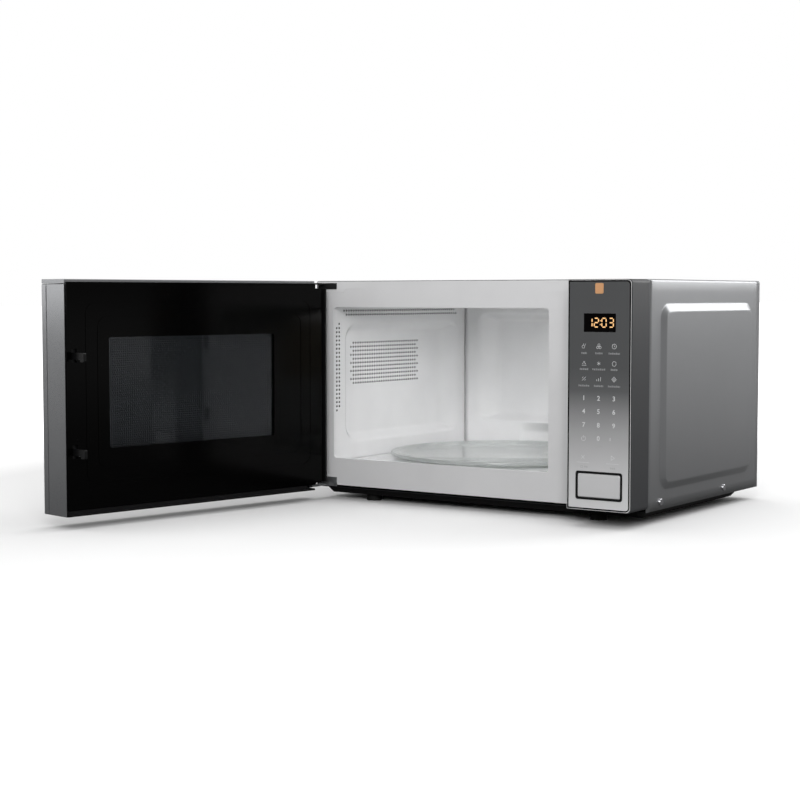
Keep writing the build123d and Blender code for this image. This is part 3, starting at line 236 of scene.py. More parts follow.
def spangled(name, colour, rough, size):
    """Zinc-coated sheet with its crystal pattern."""
    material, tree, output = start(name)
    place = place_of(tree)
    cells = add(tree, "TexVoronoi", {}, {"Vector": place, "Scale": 1 / (size * MM)})
    tone = add(tree, "SeparateColor", {}, {0: cells.outputs["Color"]}).outputs[0]
    level = add(tree, "MapRange", {}, {"Value": tone, "To Min": 0.82, "To Max": 1.12}).outputs["Result"]
    base = add(tree, "VectorMath", {"operation": "SCALE"}, {0: linear(colour)[:3], "Scale": level}).outputs[0]
    roughness = add(tree, "MapRange", {}, {"Value": tone, "To Min": rough - 0.08, "To Max": rough + 0.08})
    shader = add(tree, "BsdfPrincipled", {}, {
        "Base Color": base, "Metallic": 0.9, "Roughness": roughness.outputs["Result"],
    })
    tree.links.new(shader.outputs[0], output.inputs["Surface"])
    return material


def thin_glass(name, tint, gloss, rough=0.02, haze=0.0):
    """Thin sheet of glass: light passes straight through, tinted, and a share is mirrored, more at a slant.

    haze is the share that pressed glass scatters in its body.
    """
    material, tree, output = start(name)
    place = place_of(tree)
    smear = grain(tree, place, 0.03, detail=2.0)
    clear = add(tree, "BsdfTransparent", {}, {"Color": linear(tint)})
    roughness = spread(tree, smear, rough, rough + 0.03)
    mirror = add(tree, "BsdfGlossy", {}, {"Color": (1, 1, 1, 1), "Roughness": roughness})
    slant = add(tree, "Fresnel", {}, {"IOR": 1.45})
    share = add(tree, "Math", {"operation": "MULTIPLY"}, {0: slant.outputs[0], 1: gloss})
    body = clear
    if haze:
        milk = add(tree, "BsdfDiffuse", {}, {"Color": linear("#E9ECEB")})
        body = add(tree, "MixShader", {}, {0: haze, 1: clear.outputs[0], 2: milk.outputs[0]})
    mixed = add(tree, "MixShader", {}, {0: share.outputs[0], 1: body.outputs[0], 2: mirror.outputs[0]})
    tree.links.new(mixed.outputs[0], output.inputs["Surface"])
    return material


def lit_print(name, code, strength):
    """Glowing segments of the clock, a little uneven in brightness."""
    material, tree, output = start(name)
    place = place_of(tree)
    level = spread(tree, grain(tree, place, 0.002), strength * 0.93, strength * 1.07)
    shader = add(tree, "Emission", {}, {"Color": linear(code), "Strength": level})
    tree.links.new(shader.outputs[0], output.inputs["Surface"])
    return material


slots = {
    # metallic paint on the folded wrap, with fine flakes
    "casing_paint": finish("silver-grey wrap paint", "#A2A3A5", 0.34, metal=0.85, tint=0.05, size=0.5,
                           rough_spread=0.03, bump=0.004, bump_size=0.7, wear=0.01),
    # light enamel on the front frame
    "frame_paint": finish("light grey frame enamel", "#E0E0E1", 0.42, specular=0.4, tint=0.012, size=0.8,
                          bump=0.006, bump_size=1.4),
    # glossier light enamel inside the oven
    "cavity_paint": finish("light grey oven enamel", "#ECECED", 0.16, specular=0.5, tint=0.012, size=0.8,
                           bump=0.006, bump_size=1.6),
    # textured black powder coat under the oven
    "tray_paint": finish("black powder coat", "#151516", 0.55, specular=0.35, tint=0.15, size=0.6, bump=0.03,
                         bump_size=0.6),
    # zinc-coated steel of the back and the inner brackets
    "galvanised": spangled("galvanised steel", "#B4B6B8", 0.38, 7.0),
    # hard-drawn spring wire
    "spring_steel": finish("drawn spring wire", "#B9B9BC", 0.28, metal=1.0, size=0.3, rough_spread=0.08),
    # black moulded plastic of trims, latch and button frame
    "black_plastic": finish("black moulded plastic", "#0D0D0E", 0.38, specular=0.3, tint=0.12, size=0.4,
                            bump=0.01, bump_size=0.5),
    # glossy black inner cover of the door
    "door_black": finish("glossy black door liner", "#020202", 0.14, specular=0.09, tint=0.1, size=2.0,
                         rough_spread=0.02),
    # silver-painted plastic frame of the door
    "door_silver": finish("silver door frame paint", "#8F9092", 0.3, metal=0.75, tint=0.03, size=0.4,
                          bump=0.003, bump_size=0.6),
    # smoked mirror glass of the door's outer face
    "door_glass": thin_glass("smoked door glass", "#85878A", 1.6),
    # clear inner pane
    "window_glass": thin_glass("clear inner pane", "#E6E8E9", 0.25),
    # pressed glass of the turntable
    "plate_glass": thin_glass("pressed turntable glass", "#F6F8F7", 0.8, rough=0.06, haze=0.3),
    # printed glossy face sheet of the panel
    "panel_face": finish("printed panel sheet", "#808080", 0.3, specular=0.25, tint=0.02, size=0.5,
                         rough_spread=0.03, colouring=panel_print, coat=0.15, coat_rough=0.12),
    # dark grey moulding behind the panel face
    "housing_grey": finish("dark grey panel moulding", "#434446", 0.42, specular=0.3, tint=0.03, size=0.4,
                           bump=0.006, bump_size=0.5),
    # satin silver of the release button
    "button_silver": finish("satin silver button", "#DCDCDD", 0.34, metal=0.25, specular=0.4, tint=0.02,
                            size=0.4),
    # copper-coloured foil of the plain badge
    "badge_copper": finish("brushed copper foil", "#E2AA7A", 0.4, metal=0.35, tint=0.06, size=0.25,
                           stretch=(8, 1, 1)),
    # black window over the clock
    "display_black": finish("black display window", "#020101", 0.1, specular=0.04, tint=0.2, size=1.0,
                            rough_spread=0.02),
    # moulded rubber of the feet
    "rubber": finish("black foot rubber", "#111111", 0.75, specular=0.25, tint=0.15, size=0.8, bump=0.02,
                     bump_size=0.7),
    # nickel-plated screws and pins
    "chrome": finish("nickel plating", "#C9C9CC", 0.22, metal=1.0, size=0.5, rough_spread=0.06),
    # green glass-fibre circuit board
    "board": finish("circuit board laminate", "#2F5A36", 0.45, tint=0.12, size=0.5, stretch=(1, 6, 1)),
    # mica sheet over the wave port
    "mica": finish("mica sheet", "#B9AE97", 0.35, specular=0.6, tint=0.12, size=3.0, rough_spread=0.1),
    # stacked iron laminations
    "iron": finish("varnished iron laminations", "#4A4542", 0.5, metal=0.6, tint=0.18, size=0.7,
                   stretch=(1, 40, 40)),
    # enamelled copper wire
    "copper_wire": finish("enamelled copper windings", "#9C4F27", 0.35, metal=0.7, tint=0.15, size=0.8,
                          stretch=(40, 40, 1), bump=0.15, bump_size=0.8),
    # natural white plastic of small parts
    "white_plastic": finish("milky white plastic", "#D8D7D2", 0.42, specular=0.4, tint=0.02, size=0.6),
    # frosted bulb
    "lamp_glass": finish("frosted lamp glass", "#EFE9DC", 0.3, specular=0.5, tint=0.03, size=1.0),
    # mill-finish aluminium fins
    "bare_aluminium": finish("mill-finish aluminium", "#C3C5C8", 0.32, metal=1.0, tint=0.06, size=0.3,
                             stretch=(1, 12, 1)),
}
# black-painted steel of the door's screen
screen_paint = finish("black screen enamel", "#0B0B0C", 0.4, specular=0.15, tint=0.1, size=0.5)
# painted shade: dark colour on the backs of the wrap and of the vented wall, so that the vent holes read
# black
painted_shade_backing = finish("dark backing painted as shade", "#0E0E0F", 0.7, specular=0.2, tint=0.1, size=0.8)
# pale ink of the printed keys
print_ink = finish("pale key print", "#D6D7D8", 0.5, tint=0.03, size=0.4)
# duller ink of the small marks
caption_ink = finish("grey key print", "#A9AAAB", 0.5, tint=0.03, size=0.4)
# amber segments of the clock
clock_glow = lit_print("amber clock segments", "#FFC98A", 1.25)


# ---- pieces -----------------------------------------------------------------------------------------
def put(name, mesh, body, material, slot_name, *nodes):
    """Link a finished mesh as a piece on a body, in place of the given solids."""
    piece = bpy.data.objects.new(name, mesh)
    scene.collection.objects.link(piece)
    mesh.materials.clear()
    mesh.materials.append(material)
    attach(piece, body)
    if nodes:
        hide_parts(*nodes)
    return piece


def rounded(piece, width):
    """Round a piece's edges by a width in millimetres."""
    bevel = piece.modifiers.new("rounded edges", "BEVEL")
    bevel.width = width * MM
    bevel.segments = 3
    bevel.limit_method = "ANGLE"
    bevel.angle_limit = math.radians(SHARP_ANGLE)
    bevel.harden_normals = True


def smooth(mesh, angle):
    """Shade smooth, but keep edges sharper than an angle in degrees."""
    mesh.shade_smooth()
    mesh.set_sharp_from_angle(angle=math.radians(angle))


def swung(points, angle):
    """Points turned about the upright hinge line: x' = x cos a - y sin a and y' = x sin a + y cos a, with x
    and y measured from the line.  The door's angle shuts the open door, and its negative opens the shut one.
    """
    flat = points[:, :2] - HINGE_LINE
    cosine = math.cos(angle)
    sine = math.sin(angle)
    turned = points.copy()
    turned[:, 0] = flat[:, 0] * cosine - flat[:, 1] * sine + HINGE_LINE[0]
    turned[:, 1] = flat[:, 0] * sine + flat[:, 1] * cosine + HINGE_LINE[1]
    return turned


def points_of(mesh):
    """A mesh's points as an array of rows."""
    flat = np.zeros(len(mesh.vertices) * 3, np.float32)
    mesh.vertices.foreach_get("co", flat)
    return flat.reshape(-1, 3).astype(float)


def welded(node, whole):
    """A copy of a solid's mesh with its loose triangles joined and, if asked, its flat faces made whole."""
    mesh = cad[node].data.copy()
    imported_normals = mesh.attributes.get("custom_normal")
    if imported_normals:
        mesh.attributes.remove(imported_normals)
    work = bmesh.new()
    work.from_mesh(mesh)
    bmesh.ops.remove_doubles(work, verts=work.verts, dist=0.00001)
    if whole:
        bmesh.ops.dissolve_limit(work, angle_limit=math.radians(0.5), verts=work.verts, edges=work.edges)
    work.to_mesh(mesh)
    work.free()
    return mesh


def dress(node, slot_name, edge):
    """Show a solid with joined, smoothly shaded faces, and its edges rounded by a width in mm if not 0."""
    mesh = welded(node, edge > 0)
    smooth(mesh, SHARP_ANGLE)
    piece = put(node + "_look", mesh, cad[node]["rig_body"], slots[slot_name], slot_name, node)
    if edge:
        rounded(piece, edge)


def mesh_from(name, points, faces):
    """A mesh from arrays of points and faces."""
    mesh = bpy.data.meshes.new(name)
    mesh.from_pydata(np.asarray(points, float).tolist(), [], [list(map(int, f)) for f in faces])
    mesh.validate()
    mesh.update()
    return mesh


def marks(low, high, edges, fine, coarse, reach):
    """Grid lines from low to high, fine near the given edges and coarse elsewhere."""
    lines = [np.linspace(low, high, max(2, int(round((high - low) / coarse)) + 1))]
    for edge in edges:
        lines.append(np.arange(max(low, edge - reach), min(high, edge + reach), fine))
    joined = np.sort(np.concatenate(lines))
    keep = np.concatenate([[True], np.diff(joined) > fine * 0.45])
    joined = joined[keep]
    joined[-1] = high
    return joined


def box_distance(u, v, rect, corner):
    """Distance to a rounded rectangle (u0, u1, v0, v1): |max(q, 0)| + min(max(q), 0) - corner,
    with q = |p - middle| - half + corner; negative inside."""
    mid_u, mid_v = (rect[0] + rect[1]) / 2, (rect[2] + rect[3]) / 2
    q_u = np.abs(u - mid_u) - (rect[1] - rect[0]) / 2 + corner
    q_v = np.abs(v - mid_v) - (rect[3] - rect[2]) / 2 + corner
    outside = np.hypot(np.maximum(q_u, 0), np.maximum(q_v, 0))
    return outside + np.minimum(np.maximum(q_u, q_v), 0) - corner


def rise(t, k):
    """Ramp from 0 to 1 whose slope eases in and out over a share k at each end: t^2/2k(1-k), then straight,
    then mirrored."""
    t = np.clip(t, 0, 1)
    low = t * t / (2 * k * (1 - k))
    high = 1 - (1 - t) ** 2 / (2 * k * (1 - k))
    return np.where(t < k, low, np.where(t > 1 - k, high, (t - k / 2) / (1 - k)))


def grid_faces(rows, columns):
    """Quads of a grid whose point (r, c) has index r * columns + c."""
    r, c = np.meshgrid(np.arange(rows - 1), np.arange(columns - 1), indexing="ij")
    a = (r * columns + c).ravel()
    return np.stack([a, a + 1, a + columns + 1, a + columns], 1)


def thicken(piece, amount):
    """Give a sheet its thickness in millimetres, inwards from its shown face; returns the modifier."""
    shell = piece.modifiers.new("sheet thickness", "SOLIDIFY")
    shell.thickness = amount * MM
    shell.offset = -1.0
    return shell


# ---- the wrap ---------------------------------------------------------------------------------------
def wrap_piece():
    """The folded wrap as one sheet: an upside-down U swept along Y, with a raised press on each side.

    Cross-section: up the left side, a quarter circle of the fold radius, along the top, a quarter circle,
    down the right side; each side point moves outward by depth * rise(inside distance / ramp width).
    """
    low = -HALF_WIDTH
    high = HALF_WIDTH
    fold = 0.003
    ramp_width = 0.010
    depth = 0.0042
    corner = 0.020
    fine = 0.0010
    coarse = 0.012
    press = (FRONT + 0.033, BACK - 0.025, BASE + 0.022, TOP - 0.028)
    mid_ramp = ramp_width / 2
    z = marks(BASE, TOP - fold, [press[2] + mid_ramp, press[3] - mid_ramp], fine, coarse, coarse)
    turn = np.linspace(0, math.pi / 2, 6)[1:-1]
    x_top = np.linspace(low + fold, high - fold, 25)
    side = np.concatenate([
        np.full(len(z), low), low + fold - fold * np.cos(turn), x_top, high - fold + fold * np.sin(turn),
        np.full(len(z), high),
    ])
    up_z = np.concatenate([
        z, TOP - fold + fold * np.sin(turn), np.full(len(x_top), TOP), TOP - fold + fold * np.cos(turn),
        z[::-1],
    ])
    outward = np.concatenate([-np.ones(len(z)), np.zeros(len(side) - 2 * len(z)), np.ones(len(z))])
    y = marks(FRONT, BACK, [press[0] + mid_ramp, press[1] - mid_ramp], fine, coarse, coarse)
    yy, ss = np.meshgrid(y, np.arange(len(side)), indexing="ij")
    zz = up_z[ss]
    inside = -box_distance(yy, zz, press, corner)
    lift = depth * rise(inside / ramp_width, 0.22) * np.abs(outward[ss])
    points = np.stack([side[ss] + outward[ss] * lift, yy, zz], -1).reshape(-1, 3)
    mesh = mesh_from("wrap", points, grid_faces(len(y), len(side)))
    smooth(mesh, 60)
    piece = put("wrap", mesh, "cabinet", slots["casing_paint"], "casing_paint", "outer_casing")
    # the back of the wrap is painted dark, as painted shade seen through the vent holes
    mesh.materials.append(painted_shade_backing)
    thicken(piece, 0.8).material_offset = 1


# ---- the oven's walls -------------------------------------------------------------------------------
def left_wall_piece():
    """Left wall of the oven: a soft press outward and its vent holes.

    A square grid of a quarter of the vent pitch, moved outward by depth * rise(t).  t is the least of five
    shares: the distance in from each of the press's four edges over that edge's ramp, and the distance in
    from its rounded outline over the corner's ramp.  At each vent the middle point goes and its eight
    neighbours move onto the hole's circle.
    """
    pitch = 0.0054
    radius = 0.00145
    step = pitch / 4
    depth = 0.008
    sheet_front = -0.1412
    grid_y = FRONT + 0.0505
    grid_z = TOP - 0.082
    y = grid_y + step * np.arange(-34, 201)
    z = grid_z + step * np.arange(-115, 37)
    y = y[(y > sheet_front - 0.0003) & (y < WALL_BACK - 0.0001)]
    z = z[(z > WALL_LOW + 0.0001) & (z < WALL_HIGH - 0.0001)]
    y = np.concatenate([[sheet_front], y[1:-1], [WALL_BACK]])
    z = np.concatenate([[WALL_LOW], z[1:-1], [WALL_HIGH]])
    yy, zz = np.meshgrid(y, z, indexing="ij")
    wanted = []
    for row in range(11):
        for column in range(29):
            wanted.append((grid_y + pitch * (column + (row + 1) % 2), grid_z - pitch * row))
    for row in range(2):
        for column in range(50):
            wanted.append((FRONT + 0.025 + pitch * (column + row), TOP - 0.0387 - pitch * row))
    for column in range(2):
        for row in range(21):
            wanted.append((FRONT + 0.008 + pitch * column, TOP - 0.0624 - pitch * (row - column)))
    wanted = np.array(wanted)
    hole_r = np.clip(np.searchsorted(y, wanted[:, 0] - step / 2), 2, len(y) - 3)
    hole_c = np.clip(np.searchsorted(z, wanted[:, 1] - step / 2), 2, len(z) - 3)
    middle_y, middle_z = y[hole_r], z[hole_c]
    for dr in (-1, 0, 1):
        for dc in (-1, 0, 1):
            if dr or dc:
                length = math.hypot(dr, dc)
                yy[hole_r + dr, hole_c + dc] = middle_y + radius * dr / length
                zz[hole_r + dr, hole_c + dc] = middle_z + radius * dc / length
    press = (FRONT + 0.026, FRONT + 0.304, TOP - 0.215, TOP - 0.054)
    # the rear ramp is three times as long as the others
    bottom = (FRONT + 0.040, FRONT + 0.262, TOP - 0.201, TOP - 0.068)
    near_rear = np.clip((press[1] - yy) / (press[1] - bottom[1]), 0, 1)
    near_front = np.clip((yy - press[0]) / (bottom[0] - press[0]), 0, 1)
    near_low = np.clip((zz - press[2]) / (bottom[2] - press[2]), 0, 1)
    near_high = np.clip((press[3] - zz) / (press[3] - bottom[3]), 0, 1)
    corner = np.clip(-box_distance(yy, zz, press, 0.024) / 0.014, 0, 1)
    t = np.minimum.reduce([near_rear, near_front, near_low, near_high, corner])
    xx = WALL_LEFT - depth * rise(t, 0.3)
    points = np.stack([xx, yy, zz], -1).reshape(-1, 3)
    faces = grid_faces(len(y), len(z))
    holes = set((hole_r * len(z) + hole_c).tolist())
    kept = faces[~np.isin(faces, list(holes)).any(1)][:, ::-1]
    mesh = mesh_from("left wall", points, kept)
    drop_loose(mesh)
    smooth(mesh, 40)
    piece = put("left_wall_sheet", mesh, "cabinet", slots["cavity_paint"], "cavity_paint", "cavity_left_wall")
    mesh.materials.append(painted_shade_backing)
    # enamel on the shown face; the sheet's back and the punched edges are painted dark, as painted shade that
    # makes the holes read black
    shell = thicken(piece, 0.7)
    shell.material_offset = 1
    shell.material_offset_rim = 1


def drop_loose(mesh):
    """Take out points that no face uses."""
    work = bmesh.new()
    work.from_mesh(mesh)
    bmesh.ops.delete(work, geom=[v for v in work.verts if not v.link_faces], context="VERTS")
    work.to_mesh(mesh)
    work.free()


def back_wall_piece():
    """Back wall of the oven: depth(x, z) is the larger of the wide soft press and of the round relief that
    clears the plate, sqrt(r^2 - (x - table)^2) + table - wall, below the relief's top."""
    table_x = -0.0514
    table_y = 0.030
    radius = 0.160
    depth = 0.015
    side_ramp = 0.036
    level_ramp = 0.014
    fine = 0.0016
    coarse = 0.008
    press = (WALL_LEFT + 0.020, WALL_RIGHT - 0.020, WALL_LOW + 0.034, WALL_HIGH - 0.010)
    relief_top = WALL_LOW + 0.024
    x_ramps = [press[0] + side_ramp / 2, press[1] - side_ramp / 2, table_x - 0.066, table_x + 0.066]
    z_ramps = [press[2] + level_ramp / 2, press[3] - level_ramp / 2, relief_top + 0.005]
    x = marks(WALL_LEFT, WALL_RIGHT, x_ramps, fine, coarse, 0.024)
    z = marks(WALL_LOW, WALL_HIGH, z_ramps, fine, coarse, 0.012)
    xx, zz = np.meshgrid(x, z, indexing="ij")
    side = np.minimum(xx - press[0], press[1] - xx) / side_ramp
    level = np.minimum(zz - press[2], press[3] - zz) / level_ramp
    corner = -box_distance(xx, zz, press, 0.022) / level_ramp
    t = np.clip(np.minimum.reduce([side, level, corner]), 0, 1)
    wide = depth * rise(t, 0.3)
    reach = np.sqrt(np.maximum(radius ** 2 - (xx - table_x) ** 2, 0)) + table_y - WALL_BACK
    low = np.maximum(reach, 0) * (1 - rise((zz - relief_top + 0.004) / 0.018, 0.3))
    yy = WALL_BACK + np.maximum(wide, low)
    points = np.stack([xx, yy, zz], -1).reshape(-1, 3)
    mesh = mesh_from("back wall", points, grid_faces(len(x), len(z))[:, ::-1])
    smooth(mesh, 40)
    piece = put("back_wall_sheet", mesh, "cabinet", slots["cavity_paint"], "cavity_paint", "cavity_back_wall")
    thicken(piece, 0.7)


# ---- the door's frame -------------------------------------------------------------------------------
def paint_outer_frame():
    """Leave the door frame silver on its free edge, top and foot only, and black plastic inside."""
    mesh = bpy.data.objects["door_frame_look"].data
    mesh.materials.append(slots["black_plastic"])
    centres = np.zeros(len(mesh.polygons) * 3, np.float32)
    mesh.polygons.foreach_get("center", centres)
    place = swung(centres.reshape(-1, 3).astype(float), DOOR_ANGLE)
    outer = (place[:, 0] > 0.1578) | (place[:, 2] > 0.2795) | (place[:, 2] < 0.0155)
    mesh.polygons.foreach_set("material_index", np.where(outer, 0, 1).astype(np.int32))


# ---- the door's screen ------------------------------------------------------------------------------
def screen_piece():
    """Perforated sheet of the door: a grid of cells with one hole each.

    Each cell has a six-cornered hole, joined to the cell's four corners on both faces, with a wall between
    the faces.  The holes of every other row stand about a fifth of a cell further along.  A wall closes the
    sheet's outer edge too.
    """
    pitch = 0.0030
    radius = 0.00098
    columns = int((WINDOW_RIGHT - WINDOW_LEFT) / pitch)
    rows = int((WINDOW_HIGH - WINDOW_LOW) / (pitch * 0.87))
    cell_w = (WINDOW_RIGHT - WINDOW_LEFT) / columns
    cell_h = (WINDOW_HIGH - WINDOW_LOW) / rows
    angles = np.radians([0, 60, 120, 180, 240, 300])
    faces = []
    corner_index = np.arange((columns + 1) * (rows + 1)).reshape(rows + 1, columns + 1)
    grid_x = WINDOW_LEFT + cell_w * np.arange(columns + 1)
    grid_z = WINDOW_LOW + cell_h * np.arange(rows + 1)
    cx, cz = np.meshgrid(grid_x, grid_z)
    corners = np.stack([cx, np.full_like(cx, SCREEN_FACE), cz], -1).reshape(-1, 3)
    count = len(corners)
    r, c = np.meshgrid(np.arange(rows), np.arange(columns), indexing="ij")
    offset = np.where(r % 2 == 0, -0.25, 0.25) * cell_w * 0.9
    mid_x = WINDOW_LEFT + cell_w * (c + 0.5) + offset * 0.45
    mid_z = WINDOW_LOW + cell_h * (r + 0.5)
    ring_x = mid_x[..., None] + radius * np.cos(angles)
    ring_z = mid_z[..., None] + radius * np.sin(angles)
    ring = np.stack([ring_x, np.full_like(ring_x, SCREEN_FACE), ring_z], -1).reshape(-1, 3)
    front_points = np.concatenate([corners, ring])
    back_points = front_points + np.array([0, SCREEN_SHEET, 0])
    start_index = count + (r * columns + c).ravel()[:, None] * 6
    hole = start_index + np.arange(6)
    low_left = corner_index[:-1, :-1].ravel()
    low_right = corner_index[:-1, 1:].ravel()
    high_right = corner_index[1:, 1:].ravel()
    high_left = corner_index[1:, :-1].ravel()
    patches = [
        (low_right, high_right, hole[:, 1], hole[:, 0]),
        (high_right, high_left, hole[:, 2], hole[:, 1]),
        (high_left, hole[:, 3], hole[:, 2]),
        (high_left, low_left, hole[:, 4], hole[:, 3]),
        (low_left, low_right, hole[:, 5], hole[:, 4]),
        (low_right, hole[:, 0], hole[:, 5]),
    ]
    total = len(front_points)
    for patch in patches:
        shown = np.stack(patch, 1)
        hidden = shown[:, ::-1] + total
        faces.extend(np.stack([shown, hidden], 1).reshape(-1, len(patch)).tolist())
    for side in range(6):
        nxt = (side + 1) % 6
        wall = np.stack([hole[:, side], hole[:, nxt], hole[:, nxt] + total, hole[:, side] + total], 1)
        faces.extend(wall.tolist())
    borders = [corner_index[0, ::-1], corner_index[-1], corner_index[:, 0], corner_index[::-1, -1]]
    for line in borders:
        faces.extend(np.stack([line[:-1], line[1:], line[1:] + total, line[:-1] + total], 1).tolist())
    points = swung(np.concatenate([front_points, back_points]), -DOOR_ANGLE)
    mesh = mesh_from("screen", points, faces)
    put("screen_mesh", mesh, "door", screen_paint, "door_black")


def screen_pan():
    """The pan behind the screen, with its window cut out so that the perforated sheet shows."""
    left = -0.2151
    right = 0.1313
    low = 0.0365
    high = 0.2685
    face = -0.1571
    deep = -0.1725
    outer = [(left, low), (right, low), (right, high), (left, high)]
    inner = [
        (WINDOW_LEFT, WINDOW_LOW), (WINDOW_RIGHT, WINDOW_LOW),
        (WINDOW_RIGHT, WINDOW_HIGH), (WINDOW_LEFT, WINDOW_HIGH),
    ]
    inset = [
        (x + SCREEN_SHEET * (1 if x == left else -1), z + SCREEN_SHEET * (1 if z == low else -1))
        for x, z in outer
    ]
    rings = [
        (inner, face), (inner, SCREEN_FACE), (outer, SCREEN_FACE),
        (outer, deep), (inset, deep), (inset, face),
    ]
    points = [(x, y, z) for ring, y in rings for x, z in ring]
    faces = []
    for ring in range(len(rings)):
        nxt = (ring + 1) % len(rings)
        for k in range(4):
            m = (k + 1) % 4
            faces.append((ring * 4 + k, ring * 4 + m, nxt * 4 + m, nxt * 4 + k))
    mesh = mesh_from("screen pan", swung(np.array(points), -DOOR_ANGLE), faces)
    put("screen_pan", mesh, "door", screen_paint, "door_black", "door_screen")


# ---- printed marks ----------------------------------------------------------------------------------
def ribbon(line, width, closed=False):
    """Left and right points of a flat ribbon along a polyline: p -/+ n w/2, with n the mean normal divided by
    the cosine of half the turn so that the width stays even."""
    line = np.asarray(line, float)
    before = line - np.roll(line, 1, 0)
    after = np.roll(line, -1, 0) - line
    if not closed:
        before[0] = after[0]
        after[-1] = before[-1]
    before /= np.linalg.norm(before, axis=1)[:, None]
    after /= np.linalg.norm(after, axis=1)[:, None]
    normal_a = np.stack([-before[:, 1], before[:, 0]], 1)
    normal_b = np.stack([-after[:, 1], after[:, 0]], 1)
    mean = normal_a + normal_b
    mean /= np.linalg.norm(mean, axis=1)[:, None]
    cosine = np.clip((mean * normal_a).sum(1), 0.5, 1.0)
    offset = mean * (width / 2 / cosine)[:, None]
    return line + offset, line - offset


def strokes(name, lines, body, material, slot_name, level, thickness):
    """Ribbons of (polyline in mm, width in mm, closed) drawn in the XZ plane, as thin closed slabs that stand
    proud of a level in Y by a thickness."""
    points = []
    faces = []
    first = 0
    for line, width, closed in lines:
        left, right = ribbon(line, width, closed)
        count = len(left)
        for y in (level - thickness, level):
            for side in (left, right):
                points.append(np.stack([side[:, 0] * MM, np.full(count, y), side[:, 1] * MM], 1))
        front_left, front_right, back_left, back_right = (first + count * k for k in range(4))
        here = np.arange(count if closed else count - 1)
        after = (here + 1) % count
        walls = [
            (front_left + here, front_right + here, front_right + after, front_left + after),
            (back_left + after, back_right + after, back_right + here, back_left + here),
            (front_left + after, back_left + after, back_left + here, front_left + here),
            (front_right + here, back_right + here, back_right + after, front_right + after),
        ]
        faces.extend(np.stack([np.stack(wall, 1) for wall in walls], 1).reshape(-1, 4).tolist())
        if not closed:
            end = count - 1
            faces.append((front_left, back_left, back_right, front_right))
            faces.append((front_right + end, back_right + end, back_left + end, front_left + end))
        first += 4 * count
    mesh = mesh_from(name, np.concatenate(points), faces)
    put(name, mesh, body, material, slot_name)


def arc(x, z, radius, start_angle=0.0, end_angle=360.0, count=20):
    """Points of an arc in mm."""
    a = np.radians(np.linspace(start_angle, end_angle, count))
    return np.stack([x + radius * np.cos(a), z + radius * np.sin(a)], 1)


def ring_of(x, z, radius, width=0.45):
    """A closed circle."""
    return (arc(x, z, radius, 0, 345, 24), width, True)


def key_prints():
    """Own simple signs of the keys: columns at three places across, rows down the panel."""
    left, middle, right = KEY_COLUMNS
    thin = 0.4
    usual = 0.45
    bold = 0.5
    lines = []
    z = 209.3
    lines.append((arc(left - 1.0, z - 0.8, 1.7, 60, 400, 14), usual, False))
    lines.append(([(left + 0.4, z - 2.4), (left + 0.9, z + 0.6), (left + 2.2, z + 2.8)], usual, False))
    lines.append(([(left - 1.4, z + 0.8), (left - 0.4, z + 3.0)], usual, False))
    lines.append(ring_of(middle - 1.6, z - 1.4, 1.35))
    lines.append(ring_of(middle + 1.6, z - 1.4, 1.35))
    lines.append(ring_of(middle, z + 1.4, 1.35))
    lines.append(ring_of(right, z, 2.7))
    lines.append(([(right, z + 1.5), (right, z), (right + 1.1, z - 0.6)], thin, False))
    z = 189.6
    lines.append(([(left - 2.9, z - 2.4), (left + 2.9, z - 2.4)], usual, False))
    lines.append((arc(left, z - 1.7, 2.2, 10, 170, 12), usual, False))
    lines.append((arc(left, z + 1.5, 0.8, -60, 200, 10), thin, False))
    for turn in range(3):
        t = math.radians(60 * turn + 30)
        dx, dz = 2.3 * math.cos(t), 2.3 * math.sin(t)
        lines.append(([(middle - dx, z - dz), (middle + dx, z + dz)], thin, False))
    lines.append(([(right - 2.4, z + 0.9), (right - 0.6, z + 2.8), (right + 2.2, z + 2.0),
                   (right + 2.5, z - 0.9), (right + 0.8, z - 2.8), (right - 1.9, z - 2.2)], usual, True))
    z = 171.8
    lines.append(([(left - 2.5, z - 2.3), (left + 2.5, z + 2.3)], usual, False))
    lines.append(([(left - 2.4, z + 0.4), (left - 0.8, z + 2.2)], usual, False))
    lines.append(([(left + 0.7, z - 2.1), (left + 2.3, z - 0.5)], usual, False))
    for k, tall in enumerate((2.0, 3.2, 4.6)):
        x = middle - 2.4 + 2.4 * k
        lines.append(([(x, z - 2.4), (x, z - 2.4 + tall)], 0.55, False))
    lines.append(([(right - 2.9, z), (right, z + 2.9), (right + 2.9, z), (right, z - 2.9)], usual, True))
    lines.append(([(right - 1.2, z), (right, z + 1.2), (right + 1.2, z), (right, z - 1.2)], thin, True))
    # power sign
    z = 103.5
    lines.append((arc(left, z - 0.3, 2.6, 120, 420, 18), usual, False))
    lines.append(([(left, z + 0.4), (left, z + 3.1)], bold, False))
    # stop cross and start triangle, with a bar under each
    x, z = 181.4, 81.6
    lines.append(([(x - 1.9, z - 1.9), (x + 1.9, z + 1.9)], bold, False))
    lines.append(([(x - 1.9, z + 1.9), (x + 1.9, z - 1.9)], bold, False))
    lines.append(([(x - 8.0, 75.4), (x + 8.0, 75.4)], bold, False))
    x, z = 219.4, 82.2
    lines.append(([(x - 1.6, z - 2.5), (x - 1.6, z + 2.5), (x + 2.6, z)], bold, True))
    lines.append(([(x - 8.0, 75.4), (x + 8.0, 75.4)], thin, False))
    return lines


